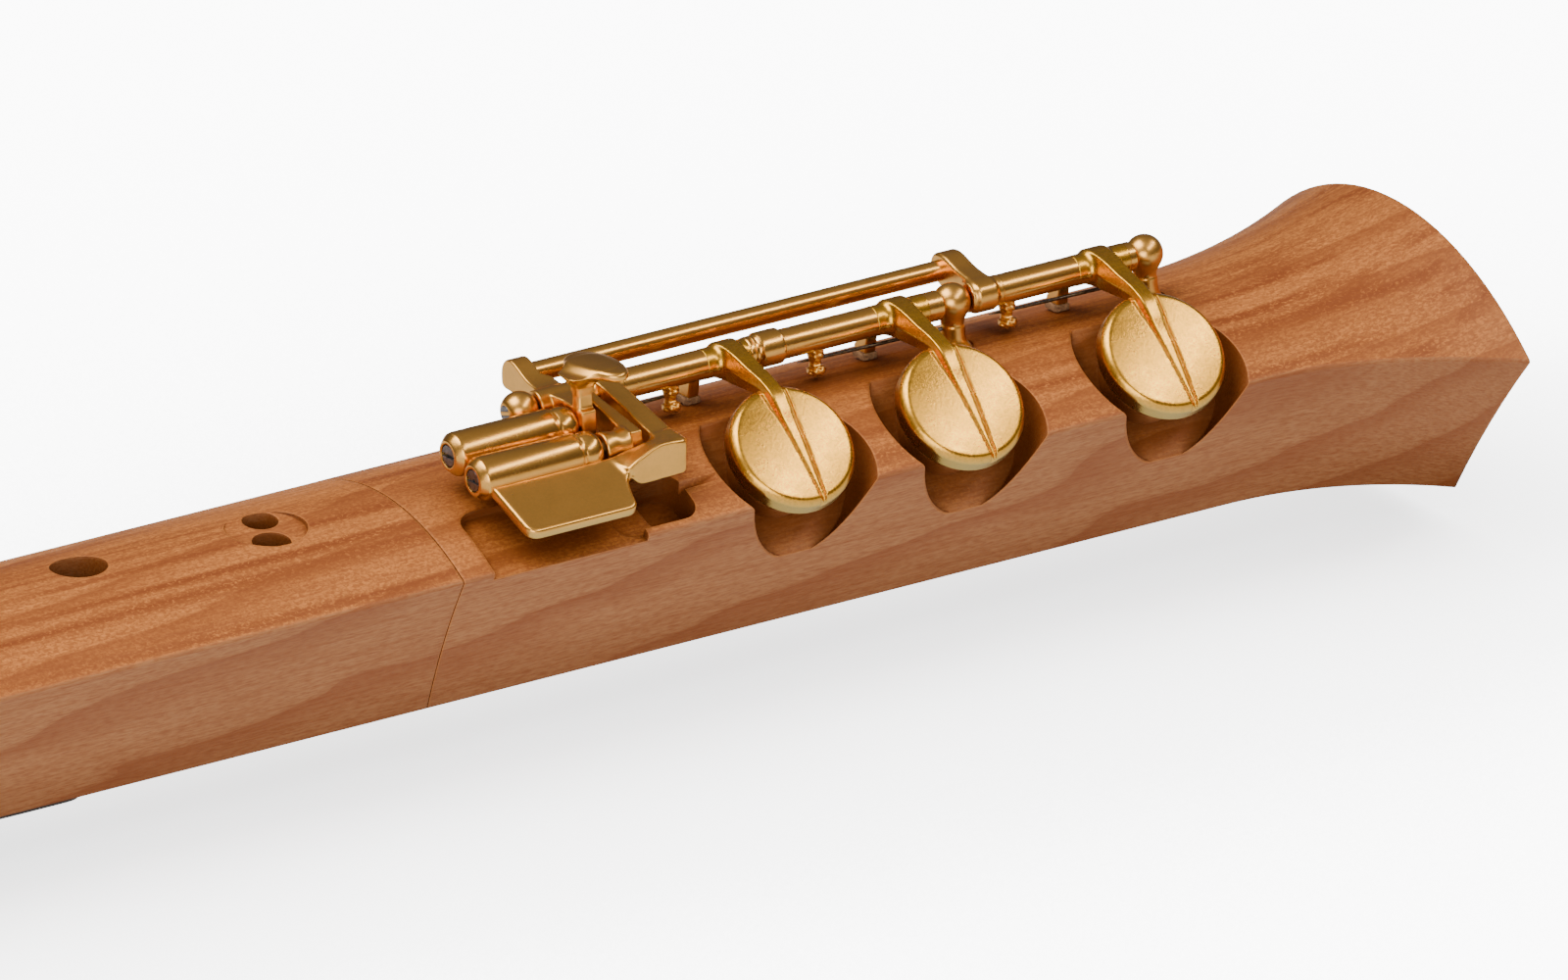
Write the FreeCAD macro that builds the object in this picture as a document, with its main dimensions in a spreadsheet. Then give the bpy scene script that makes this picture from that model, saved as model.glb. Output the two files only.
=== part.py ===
import FreeCAD, Part
import math
import os
from types import SimpleNamespace

import Sketcher
from FreeCAD import Placement, Rotation, Vector

# An alto recorder of square section with a keyed foot joint.
# Each piece is drawn in the foot's own frame: X runs down the bore from the shoulder where the
# middle joint meets the foot, Z is up through the finger holes, and the bore axis is Y = Z = 0.
# Every sub-part is then placed one foot length back, so the row's origin is the bell mouth.

DIMENSIONS = {
    "half_width": (22.0, "half width of the wooden section, across its upper arrises"),
    "arris_height": (7.4, "height of the upper arrises above the bore axis"),
    "crown_height": (14.1, "height of the arched top above the bore axis"),
    "keel_half_width": (10.6, "half width of the flat underside"),
    "keel_depth": (14.3, "depth of the flat underside below the bore axis"),
    "side_hollow": (0.6, "hollow of the sides"),
    "arris_ease": (0.5, "rounding of the long arrises"),
    "foot_length": (163.2, "foot joint, shoulder to bell end"),
    "flare_start": (128.0, "where the bell starts to flare"),
    "bell_half_width": (34.4, "half width at the bell end"),
    "bell_arris": (5.6, "height of the arrises at the bell end"),
    "bell_crown": (19.6, "height of the top at the bell end"),
    "bell_keel_half": (13.9, "half width of the underside at the bell end"),
    "bell_keel_depth": (18.8, "depth of the underside at the bell end"),
    "bell_bore": (6.6, "bore radius at the bell end"),
    "bell_bore_length": (24.0, "cylindrical stretch of bore at the bell end"),
    "foot_bore": (7.5, "bore radius below the foot socket"),
    "socket_bore": (10.6, "radius of the socket in the foot"),
    "socket_depth": (21.0, "depth of the socket in the foot"),
    "middle_length": (238.0, "middle joint between its shoulders"),
    "middle_bore": (9.3, "bore radius at the top of the middle joint"),
    "tenon_reach": (20.6, "length of the lower tenon"),
    "tenon_outer": (10.5, "radius of the lower tenon"),
    "head_tenon_reach": (24.0, "length of the upper tenon"),
    "head_tenon_outer": (11.5, "radius of the upper tenon"),
    "cork_depth": (0.9, "depth of the cork lapping in a tenon"),
    "cork_end": (4.0, "bare wood at each end of a cork lapping"),
    "head_length": (172.0, "head joint, shoulder to beak"),
    "head_bore": (9.5, "bore radius of the head"),
    "head_socket": (11.6, "socket radius in the head"),
    "window_far": (52.0, "labium edge, above the head's shoulder"),
    "window_length": (4.6, "height of the cut-up"),
    "ramp_length": (24.0, "length of the labium ramp"),
    "labium_height": (9.9, "height of the labium edge above the bore axis"),
    "windway_half": (6.2, "half width of the windway"),
    "windway_floor": (8.8, "height of the windway floor"),
    "windway_roof": (10.0, "height of the windway roof"),
    "beak_half": (13.0, "half width of the beak at its tip"),
    "beak_top": (12.6, "height of the beak at its tip"),
    "beak_under": (1.6, "underside of the beak at its tip"),
    "beak_length": (40.0, "length of the hollowed underside of the beak"),
    "hole_pitch": (28.0, "spacing of the finger holes in each hand"),
    "hole_last": (19.3, "double hole, above the foot's shoulder"),
    "hole_gap": (33.4, "spacing between the two hands' holes"),
    "hole_wide": (4.0, "radius of a wide finger hole"),
    "hole_narrow": (3.2, "radius of a narrow finger hole"),
    "dish_radius": (5.7, "dish around the double hole"),
    "dish_depth": (0.7, "depth of that dish"),
    "dish_tilt": (8.0, "tilt of that dish towards the little finger"),
    "rest_start": (51.6, "foot end of the thumb rest, above the foot's shoulder"),
    "rest_length": (36.0, "length of the thumb rest"),
    "rest_half": (7.0, "half width of the thumb rest"),
    "rest_thick": (2.0, "thickness of the thumb rest"),
    "rest_lip": (7.0, "height of the thumb rest's lip"),
    "hinge_height": (20.5, "height of the key hinge above the bore axis"),
    "rod_radius": (0.9, "radius of the hinge rod"),
    "running_gap": (0.05, "running clearance of a bush on its pin"),
    "end_gap": (0.06, "clearance between neighbouring hinge tubes"),
    "tube_radius": (2.1, "outer radius of a hinge tube"),
    "inner_tube": (1.4, "outer radius of the tube inside the first key"),
    "collar_radius": (2.45, "outer radius of the collar"),
    "ball_radius": (2.65, "radius of a post's ball"),
    "ball_flat": (2.3, "flats on either side of a post's ball"),
    "neck_radius": (1.6, "radius of a post's neck"),
    "post_base": (2.8, "radius of a post's base"),
    "post_seat": (13.9, "height of the spot face below a post"),
    "post_screw": (1.3, "radius of a post's wood screw"),
    "post_screw_length": (3.1, "length of a post's wood screw"),
    "post_upper": (22.8, "first post"),
    "post_middle": (92.0, "second post"),
    "post_lower": (123.1, "third post"),
    "tone_first": (55.95, "tone hole of the F sharp key"),
    "tone_second": (83.2, "tone hole of the F key"),
    "tone_third": (115.6, "tone hole of the E key"),
    "tone_tilt": (56.0, "tilt of the tone holes from vertical"),
    "tone_radius": (4.3, "radius of a tone hole"),
    "seat_radius": (6.2, "outer radius of the raised tone hole seat"),
    "seat_height": (14.75, "distance of the seat from the bore axis"),
    "pocket_radius": (11.6, "radius of the pocket round a seat"),
    "pocket_floor": (11.5, "distance of the pocket's floor from the bore axis"),
    "key_travel": (9.0, "angle through which a key closes"),
    "cup_radius": (9.1, "outer radius of a key cup"),
    "cup_height": (3.0, "height of a key cup's rim"),
    "cup_crown": (0.35, "crown of a key cup's top"),
    "cup_wall": (0.7, "wall of a key cup"),
    "pad_proud": (0.8, "how far a pad stands below its cup"),
    "pad_lift": (0.05, "clearance left between a closed pad and its seat"),
    "roller_radius": (3.1, "radius of the touch rollers"),
    "roller_start": (7.3, "upper end of the rollers"),
    "roller_end": (27.2, "lower end of the rollers"),
    "bead_start": (23.6, "start of the bead on a roller"),
    "rear_roller_y": (-6.5, "axis of the rear roller"),
    "rear_roller_z": (19.3, "axis of the rear roller"),
    "front_roller_y": (-12.8, "axis of the front roller"),
    "front_roller_z": (17.6, "axis of the front roller"),
    "bridge_radius": (1.45, "radius of the bridge rod"),
    "bridge_y": (7.95, "axis of the bridge rod"),
    "bridge_z": (22.0, "axis of the bridge rod"),
    "bridge_end": (98.0, "lower end of the bridge rod"),
    "collar_start": (58.7, "upper end of the collar"),
    "collar_end": (64.1, "lower end of the collar"),
    "shoulder_gap": (0.15, "fine joint between two shoulders"),
    "spring_radius": (0.3, "radius of a needle spring"),
    "spring_height": (16.6, "height of a needle spring at its hook"),
    "spring_aside": (1.64, "how far a needle spring leans back to pass its hook"),
    "spring_past": (2.0, "how far a needle spring runs past its hook"),
    "hook_first": (46.8, "spring hook of the F sharp key"),
    "hook_second": (70.0, "spring hook of the F key"),
    "hook_third": (100.8, "spring hook of the E key"),
    "heel_first": (51.6, "stop heel of the F sharp key"),
    "heel_second": (80.0, "stop heel of the F key"),
    "heel_third": (111.0, "stop heel of the E key"),
    "heel_half": (1.2, "half width of a stop heel"),
    "recess_tilt": (23.5, "slope of the hollow below the plate"),
    "recess_start": (4.9, "upper end of that hollow"),
    "recess_end": (29.3, "lower end of that hollow"),
    "recess_corner": (3.0, "rounding of that hollow's corners"),
    "shelf_start": (26.3, "upper end of the shelf beside that hollow"),
    "slot_start": (31.4, "upper end of the slot sunk in that shelf"),
    "slot_end": (38.4, "lower end of shelf and slot"),
    "slot_corner": (2.6, "rounding of the corners of both"),
    "double_y": (-2.5, "offset of the double hole towards the little finger"),
    "double_small": (2.5, "radius of the smaller of the double holes"),
    "double_large": (2.7, "radius of the larger of the double holes"),
    "double_spread": (2.95, "half the distance across between the double holes"),
    "double_slant": (0.9, "how far along each double hole stands from their middle"),
    "thumb_back": (11.0, "thumb hole, above the first finger hole"),
    "crank_start": (25.16, "upper end of the E key's lever hub"),
    "crank_end": (31.04, "lower end of the E key's lever hub"),
    "lever_start": (31.1, "upper end of the F key's lever hub"),
    "lever_end": (34.14, "lower end of the F key's lever hub"),
    "touch_start": (34.2, "upper end of the F sharp key's tube"),
    "boss_length": (2.95, "length of the rear roller's boss"),
    "boss_start": (27.4, "upper end of the rear roller's boss"),
    "barrel_length": (4.6, "length of the front roller's barrel"),
    "barrel_start": (27.6, "upper end of the front roller's barrel"),
    "barrel_radius": (2.3, "radius of the front roller's barrel"),
    "leaf_height": (26.2, "height of the leaf's middle"),
    "leaf_turn": (-57.0, "turn of the leaf about the vertical"),
    "leaf_thick": (1.3, "thickness of the leaf"),
    "plate_start": (8.6, "upper end of the little finger's plate"),
    "plate_front": (-24.3, "front edge of that plate"),
    "plate_rear": (-16.3, "rear edge of that plate"),
    "far_crank": (96.65, "middle of the crank at the bridge rod's lower end"),
    "far_crank_width": (3.4, "width of that crank"),
    "bridge_start": (27.0, "upper end of the bridge rod"),
}

doc = FreeCAD.newDocument("Recorder")
sheet = doc.addObject("Spreadsheet::Sheet", "Sizes")


class Size(float):
    """A length or angle that also carries the sheet formula it is worked out with."""

    def __new__(cls, number, formula=None):
        made = float.__new__(cls, number)
        made.formula = formula if formula is not None else repr(float(number))
        return made

    def __add__(self, other):
        return combine(self, "+", other, float(self) + float(other))

    def __radd__(self, other):
        return combine(other, "+", self, float(other) + float(self))

    def __sub__(self, other):
        return combine(self, "-", other, float(self) - float(other))

    def __rsub__(self, other):
        return combine(other, "-", self, float(other) - float(self))

    def __mul__(self, other):
        return combine(self, "*", other, float(self) * float(other))

    def __rmul__(self, other):
        return combine(other, "*", self, float(other) * float(self))

    def __truediv__(self, other):
        return combine(self, "/", other, float(self) / float(other))

    def __neg__(self):
        return Size(-float(self), f"(-1 * {self.formula})")


def formula_of(number):
    return number.formula if isinstance(number, Size) else repr(float(number))


def combine(left, sign, right, number):
    return Size(number, f"({formula_of(left)} {sign} {formula_of(right)})")


def sine(angle):
    return Size(math.sin(math.radians(angle)), f"sin({formula_of(angle)} * 1 deg)")


def cosine(angle):
    return Size(math.cos(math.radians(angle)), f"cos({formula_of(angle)} * 1 deg)")


def root(number):
    return Size(math.sqrt(number), f"sqrt({formula_of(number)})")


for line, (alias, (number, meaning)) in enumerate(DIMENSIONS.items(), start=1):
    sheet.set(f"A{line}", meaning)
    sheet.set(f"B{line}", str(number))
    sheet.setAlias(f"B{line}", alias)
doc.recompute()
D = SimpleNamespace(
    **{alias: Size(number, f"Sizes.{alias}") for alias, (number, _) in DIMENSIONS.items()}
)

subparts = []


def finished(obj, label, base=(0, 0, 0), turn=None):
    """Names a sub-part and places it so that the row's origin is the bell mouth."""
    obj.Label = label
    place(obj, (base[0] - D.foot_length, base[1], base[2]), turn)
    subparts.append(obj)
    return obj


def new_body(name):
    return doc.addObject("PartDesign::Body", name)


def attach(sketch, body, role, offset=(0, 0, 0)):
    """Lays a sketch on one of its body's origin planes, moved by an offset in the plane's own frame."""
    plane = next(item for item in body.Origin.OriginFeatures if item.Role == role)
    sketch.AttachmentSupport = (plane, [""])
    sketch.MapMode = "FlatFace"
    sketch.AttachmentOffset = Placement(Vector(*offset), Rotation())
    for axis, distance in zip("xyz", offset):
        if isinstance(distance, Size):
            sketch.setExpression(f".AttachmentOffset.Base.{axis}", distance.formula)


def dimension(sketch, kind, places, number):
    index = sketch.addConstraint(Sketcher.Constraint(kind, *places, float(number)))
    if isinstance(number, Size):
        sketch.setExpression(f"Constraints[{index}]", number.formula)


def outline(body, role, points, rises=None, offset=(0, 0, 0)):
    """A closed outline through the points, in order round it anticlockwise.

    rises gives, for a side that starts at that corner, how far it bows outwards (or, below
    zero, inwards) as an arc; the other sides are straight.
    """
    rises = rises or {}
    sketch = body.newObject("Sketcher::SketchObject", "Outline")
    attach(sketch, body, role, offset)
    count = len(points)
    ends = []
    for index, start in enumerate(points):
        stop = points[(index + 1) % count]
        first, last = Vector(*start, 0), Vector(*stop, 0)
        if index not in rises:
            geometry = sketch.addGeometry(Part.LineSegment(first, last), False)
            ends.append((geometry, 1, 2))
            continue
        rise = rises[index]
        along = last - first
        outward = Vector(along.y, -along.x, 0).normalize()
        arc = Part.Arc(first, (first + last) * 0.5 + outward * rise, last)
        geometry = sketch.addGeometry(arc, False)
        forward = rise > 0
        ends.append((geometry, 1, 2) if forward else (geometry, 2, 1))
    for index, (geometry, _, last) in enumerate(ends):
        following = ends[(index + 1) % count]
        sketch.addConstraint(
            Sketcher.Constraint("Coincident", geometry, last, following[0], following[1])
        )
    for (geometry, start, _), point in zip(ends, points):
        dimension(sketch, "DistanceX", (-1, 1, geometry, start), point[0])
        dimension(sketch, "DistanceY", (-1, 1, geometry, start), point[1])
    for index, rise in rises.items():
        start, stop = points[index], points[(index + 1) % count]
        run = stop[0] - start[0]
        climb = stop[1] - start[1]
        half_chord_squared = (run * run + climb * climb) / 4
        height = rise if rise > 0 else 0 - rise
        radius = (half_chord_squared + height * height) / (2 * height)
        dimension(sketch, "Radius", (ends[index][0],), radius)
    return sketch


def pad(body, sketch, length, symmetric=False, backwards=False):
    feature = body.newObject("PartDesign::Pad", "Pad")
    feature.Profile = sketch
    feature.setExpression("Length", formula_of(length))
    if symmetric:
        feature.SideType = "Symmetric"
    feature.Reversed = backwards
    return feature


def revolve(body, sketch, axis):
    feature = body.newObject("PartDesign::Revolution", "Revolution")
    feature.Profile = sketch
    feature.ReferenceAxis = (sketch, [axis])
    feature.Angle = 360.0
    return feature


def turned(name, points, rises=None, axis="H_Axis"):
    """A turned piece: its half outline lies in the XZ plane and is spun about X or Z."""
    body = new_body(name)
    revolve(body, outline(body, "XZ_Plane", points, rises), axis)
    return body


def slab(name, role, points, length, rises=None, offset=(0, 0, 0), symmetric=True):
    """A flat outline padded to a length."""
    body = new_body(name)
    pad(body, outline(body, role, points, rises, offset), length, symmetric)
    return body


def place(obj, base, turn=None):
    """Puts an object at a base point, turned by a Rotation or by (axis, angle or its formula)."""
    axes = {"x": Vector(1, 0, 0), "y": Vector(0, 1, 0), "z": Vector(0, 0, 1)}
    if isinstance(turn, tuple):
        rotation = Rotation(axes[turn[0]], float(turn[1]))
    else:
        rotation = turn or Rotation()
    obj.Placement = Placement(Vector(*base), rotation)
    for axis, distance in zip("xyz", base):
        if isinstance(distance, Size):
            obj.setExpression(f".Placement.Base.{axis}", distance.formula)
    if isinstance(turn, tuple) and isinstance(turn[1], Size):
        obj.setExpression(".Placement.Rotation.Angle", turn[1].formula)
    return obj


def rod(name, radius, length, base, turn=("y", 90.0)):
    """A plain cylinder, lying along X unless it is turned otherwise."""
    cylinder = doc.addObject("Part::Cylinder", name)
    cylinder.setExpression("Radius", formula_of(radius))
    cylinder.setExpression("Height", formula_of(length))
    return place(cylinder, base, turn)


def block(name, lengths, base, turn=None):
    box = doc.addObject("Part::Box", name)
    for side, length in zip(("Length", "Width", "Height"), lengths):
        box.setExpression(side, formula_of(length))
    return place(box, base, turn)


def fuse(name, *pieces):
    joined = doc.addObject("Part::MultiFuse", name)
    joined.Shapes = list(pieces)
    joined.Refine = True
    return joined


def common(name, *pieces):
    shared = doc.addObject("Part::MultiCommon", name)
    shared.Shapes = list(pieces)
    return shared


def cut(name, base, *tools):
    result = doc.addObject("Part::Cut", name)
    result.Base = base
    result.Tool = tools[0] if len(tools) == 1 else fuse(name + "Cutters", *tools)
    return result


# ---------------------------------------------------------------- the wooden section


def section_points(grow=0):
    """Corners of the wooden section, anticlockwise from the right arris.

    grow runs from 0 on the straight of the body to 1 at the bell end.
    """
    wide = D.half_width + (D.bell_half_width - D.half_width) * grow
    arris = D.arris_height + (D.bell_arris - D.arris_height) * grow
    keel = D.keel_half_width + (D.bell_keel_half - D.keel_half_width) * grow
    depth = D.keel_depth + (D.bell_keel_depth - D.keel_depth) * grow
    return [(wide, arris), (-wide, arris), (-keel, -depth), (keel, -depth)]


def section_rises(grow=0):
    """The arched top and the two hollow sides."""
    crown = D.crown_height + (D.bell_crown - D.crown_height) * grow
    arris = D.arris_height + (D.bell_arris - D.arris_height) * grow
    return {0: crown - arris, 1: -D.side_hollow, 3: -D.side_hollow}


def ease_arrises(body, feature):
    """Rounds every edge that runs along the instrument."""
    doc.recompute()
    names = []
    for number, edge in enumerate(feature.Shape.Edges, start=1):
        start, stop = edge.Vertexes[0].Point, edge.Vertexes[-1].Point
        if abs(stop.x - start.x) > D.cork_end:
            names.append(f"Edge{number}")
    fillet = body.newObject("PartDesign::Fillet", "EasedArrises")
    fillet.Base = (feature, names)
    fillet.setExpression("Radius", D.arris_ease.formula)
    return fillet


def foot_blank():
    """The outside of the foot joint: a straight stretch and the flared bell."""
    body = new_body("FootBlank")
    straight = outline(body, "YZ_Plane", section_points(), section_rises())
    pad(body, straight, D.flare_start)
    reach = D.foot_length - D.flare_start
    steps = 4
    sections = []
    for step in range(steps + 1):
        part_way = step / steps
        grow = part_way * part_way
        station = D.flare_start + reach * part_way
        sections.append(
            outline(
                body,
                "YZ_Plane",
                section_points(grow),
                section_rises(grow),
                (0, 0, station),
            )
        )
    flare = body.newObject("PartDesign::AdditiveLoft", "Flare")
    flare.Profile = sections[0]
    flare.Sections = sections[1:]
    flare.Ruled = False
    ease_arrises(body, flare)
    return body


def foot_bore():
    """The bore of the foot with its socket, as a turned core to be cut away."""
    straight_start = D.foot_length - D.bell_bore_length
    past_end = D.foot_length + 1
    return turned(
        "FootBore",
        [
            (-1, 0),
            (past_end, 0),
            (past_end, D.bell_bore),
            (straight_start, D.bell_bore),
            (D.socket_depth, D.foot_bore),
            (D.socket_depth, D.socket_bore),
            (-1, D.socket_bore),
        ],
    )


def radial(distance, tilt=D.tone_tilt):
    """The Y and Z of a point on a tone hole's axis, at a distance from the bore axis."""
    return -distance * sine(tilt), distance * cosine(tilt)


def tone_cutters(station):
    """A tone hole: its pocket, the seat left standing in the pocket, and the hole itself."""
    over = 20
    floor = (station, *radial(D.pocket_floor))
    seat = (station, *radial(D.seat_height))
    turn = ("x", D.tone_tilt)
    pocket = rod("Pocket", D.pocket_radius, over, floor, turn)
    ring_height = D.seat_height - D.pocket_floor
    ring = rod("Seat", D.seat_radius, ring_height, floor, turn)
    hole = rod("ToneHole", D.tone_radius, over, (station, 0, 0), turn)
    return [cut("PocketRound", pocket, ring), hole]


def rounded_pocket(name, lengths, base, corner):
    """A sloping pocket to be cut away, its upright corners rounded."""
    pocket = block(name, lengths, base, ("x", D.recess_tilt))
    doc.recompute()
    rounded = doc.addObject("Part::Fillet", name + "Rounded")
    rounded.Base = pocket
    upright = []
    for number, edge in enumerate(pocket.Shape.Edges, start=1):
        direction = edge.tangentAt(edge.FirstParameter)
        if abs(direction.x) < 0.5 and abs(direction.z) > 0.5:
            upright.append((number, float(corner), float(corner)))
    rounded.Edges = upright
    return rounded


def key_recess():
    """The hollow below the little finger's plate, and the shelf and deeper slot beside it."""
    hollow = (D.recess_end - D.recess_start, 19.0, 12.0)
    shelf = (D.slot_end - D.shelf_start, 8.6, 10.0)
    slot = (D.slot_end - D.slot_start, 8.5, 13.0)
    return [
        rounded_pocket("Hollow", hollow, (D.recess_start, -28.0, 3.6), D.recess_corner),
        rounded_pocket("Shelf", shelf, (D.shelf_start, -20.3, 6.6), D.slot_corner),
        rounded_pocket("Slot", slot, (D.slot_start, -19.0, 3.9), D.slot_corner),
    ]


def make_foot_joint():
    cutters = [foot_bore(), *key_recess()]
    for station in (D.tone_first, D.tone_second, D.tone_third):
        cutters.extend(tone_cutters(station))
    for station in (D.post_upper, D.post_middle, D.post_lower):
        spot = (station, 0, D.post_seat)
        stem = (station, 0, D.post_seat - D.post_screw_length)
        cutters.append(rod("SpotFace", D.post_base, 5, spot, ("z", 0)))
        cutters.append(rod("PostHole", D.post_screw, D.post_screw_length, stem, ("z", 0)))
    finished(cut("FootJoint", foot_blank(), *cutters), "foot_joint")


# ---------------------------------------------------------------- middle joint


def tenon(name, shoulder, way, reach, outer):
    """A tenon's wood, turned with a shallow seat for its cork lapping."""
    near, far = shoulder + D.cork_end * way, shoulder + (reach - D.cork_end) * way
    end = shoulder + reach * way
    waist = outer - D.cork_depth
    root_end = shoulder - way
    steps = [
        (root_end, 0),
        (end, 0),
        (end, outer),
        (far, outer),
        (far, waist),
        (near, waist),
        (near, outer),
        (root_end, outer),
    ]
    return turned(name, steps if way > 0 else steps[::-1])


def tenon_cork(label, shoulder, way, reach, outer):
    """The cork lapping that fills a tenon's seat and stands a little proud of it."""
    near, far = shoulder + D.cork_end * way, shoulder + (reach - D.cork_end) * way
    low, high = min(near, far), max(near, far)
    waist = outer - D.cork_depth
    proud = outer + D.running_gap
    lapping = turned(label.title(), [(low, waist), (high, waist), (high, proud), (low, proud)])
    finished(lapping, label)


HEAD_SHOULDER = -D.middle_length
HOLES = {
    "HoleFive": (-D.hole_last - D.hole_pitch, D.hole_wide),
    "HoleFour": (-D.hole_last - D.hole_pitch * 2, D.hole_narrow),
    "HoleThree": (-D.hole_last - D.hole_pitch * 2 - D.hole_gap, D.hole_narrow),
    "HoleTwo": (-D.hole_last - D.hole_pitch * 3 - D.hole_gap, D.hole_narrow),
    "HoleOne": (-D.hole_last - D.hole_pitch * 4 - D.hole_gap, D.hole_narrow),
}


def double_hole():
    """The lowest finger hole: two small holes side by side in a shallow dish."""
    floor = D.crown_height - D.dish_depth
    middle = (-D.hole_last, D.double_y, floor)
    small = (D.double_slant - D.hole_last, D.double_y + D.double_spread, 0)
    large = (-D.double_slant - D.hole_last, D.double_y - D.double_spread, 0)
    return [
        rod("Dish", D.dish_radius, 6, middle, ("x", D.dish_tilt)),
        rod("SmallHole", D.double_small, 20, small, ("z", 0)),
        rod("LargeHole", D.double_large, 20, large, ("z", 0)),
    ]


def screw_places():
    """Where the thumb rest's two screws stand along the joint."""
    inset = D.rest_length / 4
    return [-D.rest_start - inset, -D.rest_start - D.rest_length + inset + 3]


def make_middle_joint():
    blank = new_body("MiddleBlank")
    straight = outline(
        blank, "YZ_Plane", section_points(), section_rises(), (0, 0, HEAD_SHOULDER + D.shoulder_gap)
    )
    length = D.middle_length - D.shoulder_gap * 2
    ease_arrises(blank, pad(blank, straight, length))
    wood = fuse(
        "MiddleWood",
        blank,
        tenon("LowerTenon", Size(0), 1, D.tenon_reach, D.tenon_outer),
        tenon("UpperTenon", HEAD_SHOULDER, -1, D.head_tenon_reach, D.head_tenon_outer),
    )
    top = HEAD_SHOULDER - D.head_tenon_reach
    bore = turned(
        "MiddleBore",
        [
            (top - 1, 0),
            (D.tenon_reach + 1, 0),
            (D.tenon_reach + 1, D.foot_bore),
            (top - 1, D.middle_bore),
        ],
    )
    holes = [rod(name, radius, 20, (x, 0, 0), ("z", 0)) for name, (x, radius) in HOLES.items()]
    thumb_x = HOLES["HoleOne"][0] - D.thumb_back
    thumb = rod("ThumbHole", D.hole_narrow, 20, (thumb_x, 0, -20), ("z", 0))
    screws = [
        rod("ScrewHole", D.rod_radius, 4, (x, 0, -D.keel_depth - 0.5), ("z", 0))
        for x in screw_places()
    ]
    wood_cut = cut("MiddleJoint", wood, bore, *holes, *double_hole(), thumb, *screws)
    finished(wood_cut, "middle_joint")


def make_thumb_rest():
    """A black plate under the right thumb, with a curved lip at its upper end."""
    start, end = -D.rest_start - D.rest_length, -D.rest_start
    top, bottom = -D.keel_depth, -D.keel_depth - D.rest_thick
    lip = bottom - D.rest_lip
    side = slab(
        "RestSide",
        "XZ_Plane",
        [
            (start, lip),
            (start + 2.2, lip),
            (start + 8, bottom),
            (end - 1, bottom),
            (end, bottom + 1),
            (end, top),
            (start + 1, top),
            (start - 2, bottom - 1),
        ],
        D.rest_half * 2,
        {1: -1.2, 6: -0.4, 7: 0.6},
    )
    corner = D.rest_half - 3
    plan = slab(
        "RestPlan",
        "XY_Plane",
        [
            (end, -corner),
            (end, corner),
            (end - 3, D.rest_half),
            (start - 3, D.rest_half),
            (start - 3, -D.rest_half),
            (end - 3, -D.rest_half),
        ],
        80,
        {1: 0.9, 5: 0.9},
    )
    sinks = []
    for x in screw_places():
        sinks.append(rod("Sink", D.post_screw + 0.6, 1, (x, 0, bottom - 0.2), ("z", 0)))
        sinks.append(rod("Clear", D.rod_radius, 4, (x, 0, bottom), ("z", 0)))
    finished(cut("ThumbRest", common("RestBlank", side, plan), *sinks), "thumb_rest")
    heads = []
    for x in screw_places():
        heads.append(rod("Head", D.post_screw + 0.6, 0.8, (x, 0, bottom), ("z", 0)))
        heads.append(rod("Stem", D.rod_radius, 5, (x, 0, bottom + 0.5), ("z", 0)))
    slots = [block("Slot", (2.6, 0.5, 0.5), (x - 1.3, -0.25, bottom)) for x in screw_places()]
    finished(cut("RestScrews", fuse("ScrewBlanks", *heads), *slots), "thumb_rest_screws")


# ---------------------------------------------------------------- head joint


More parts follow.
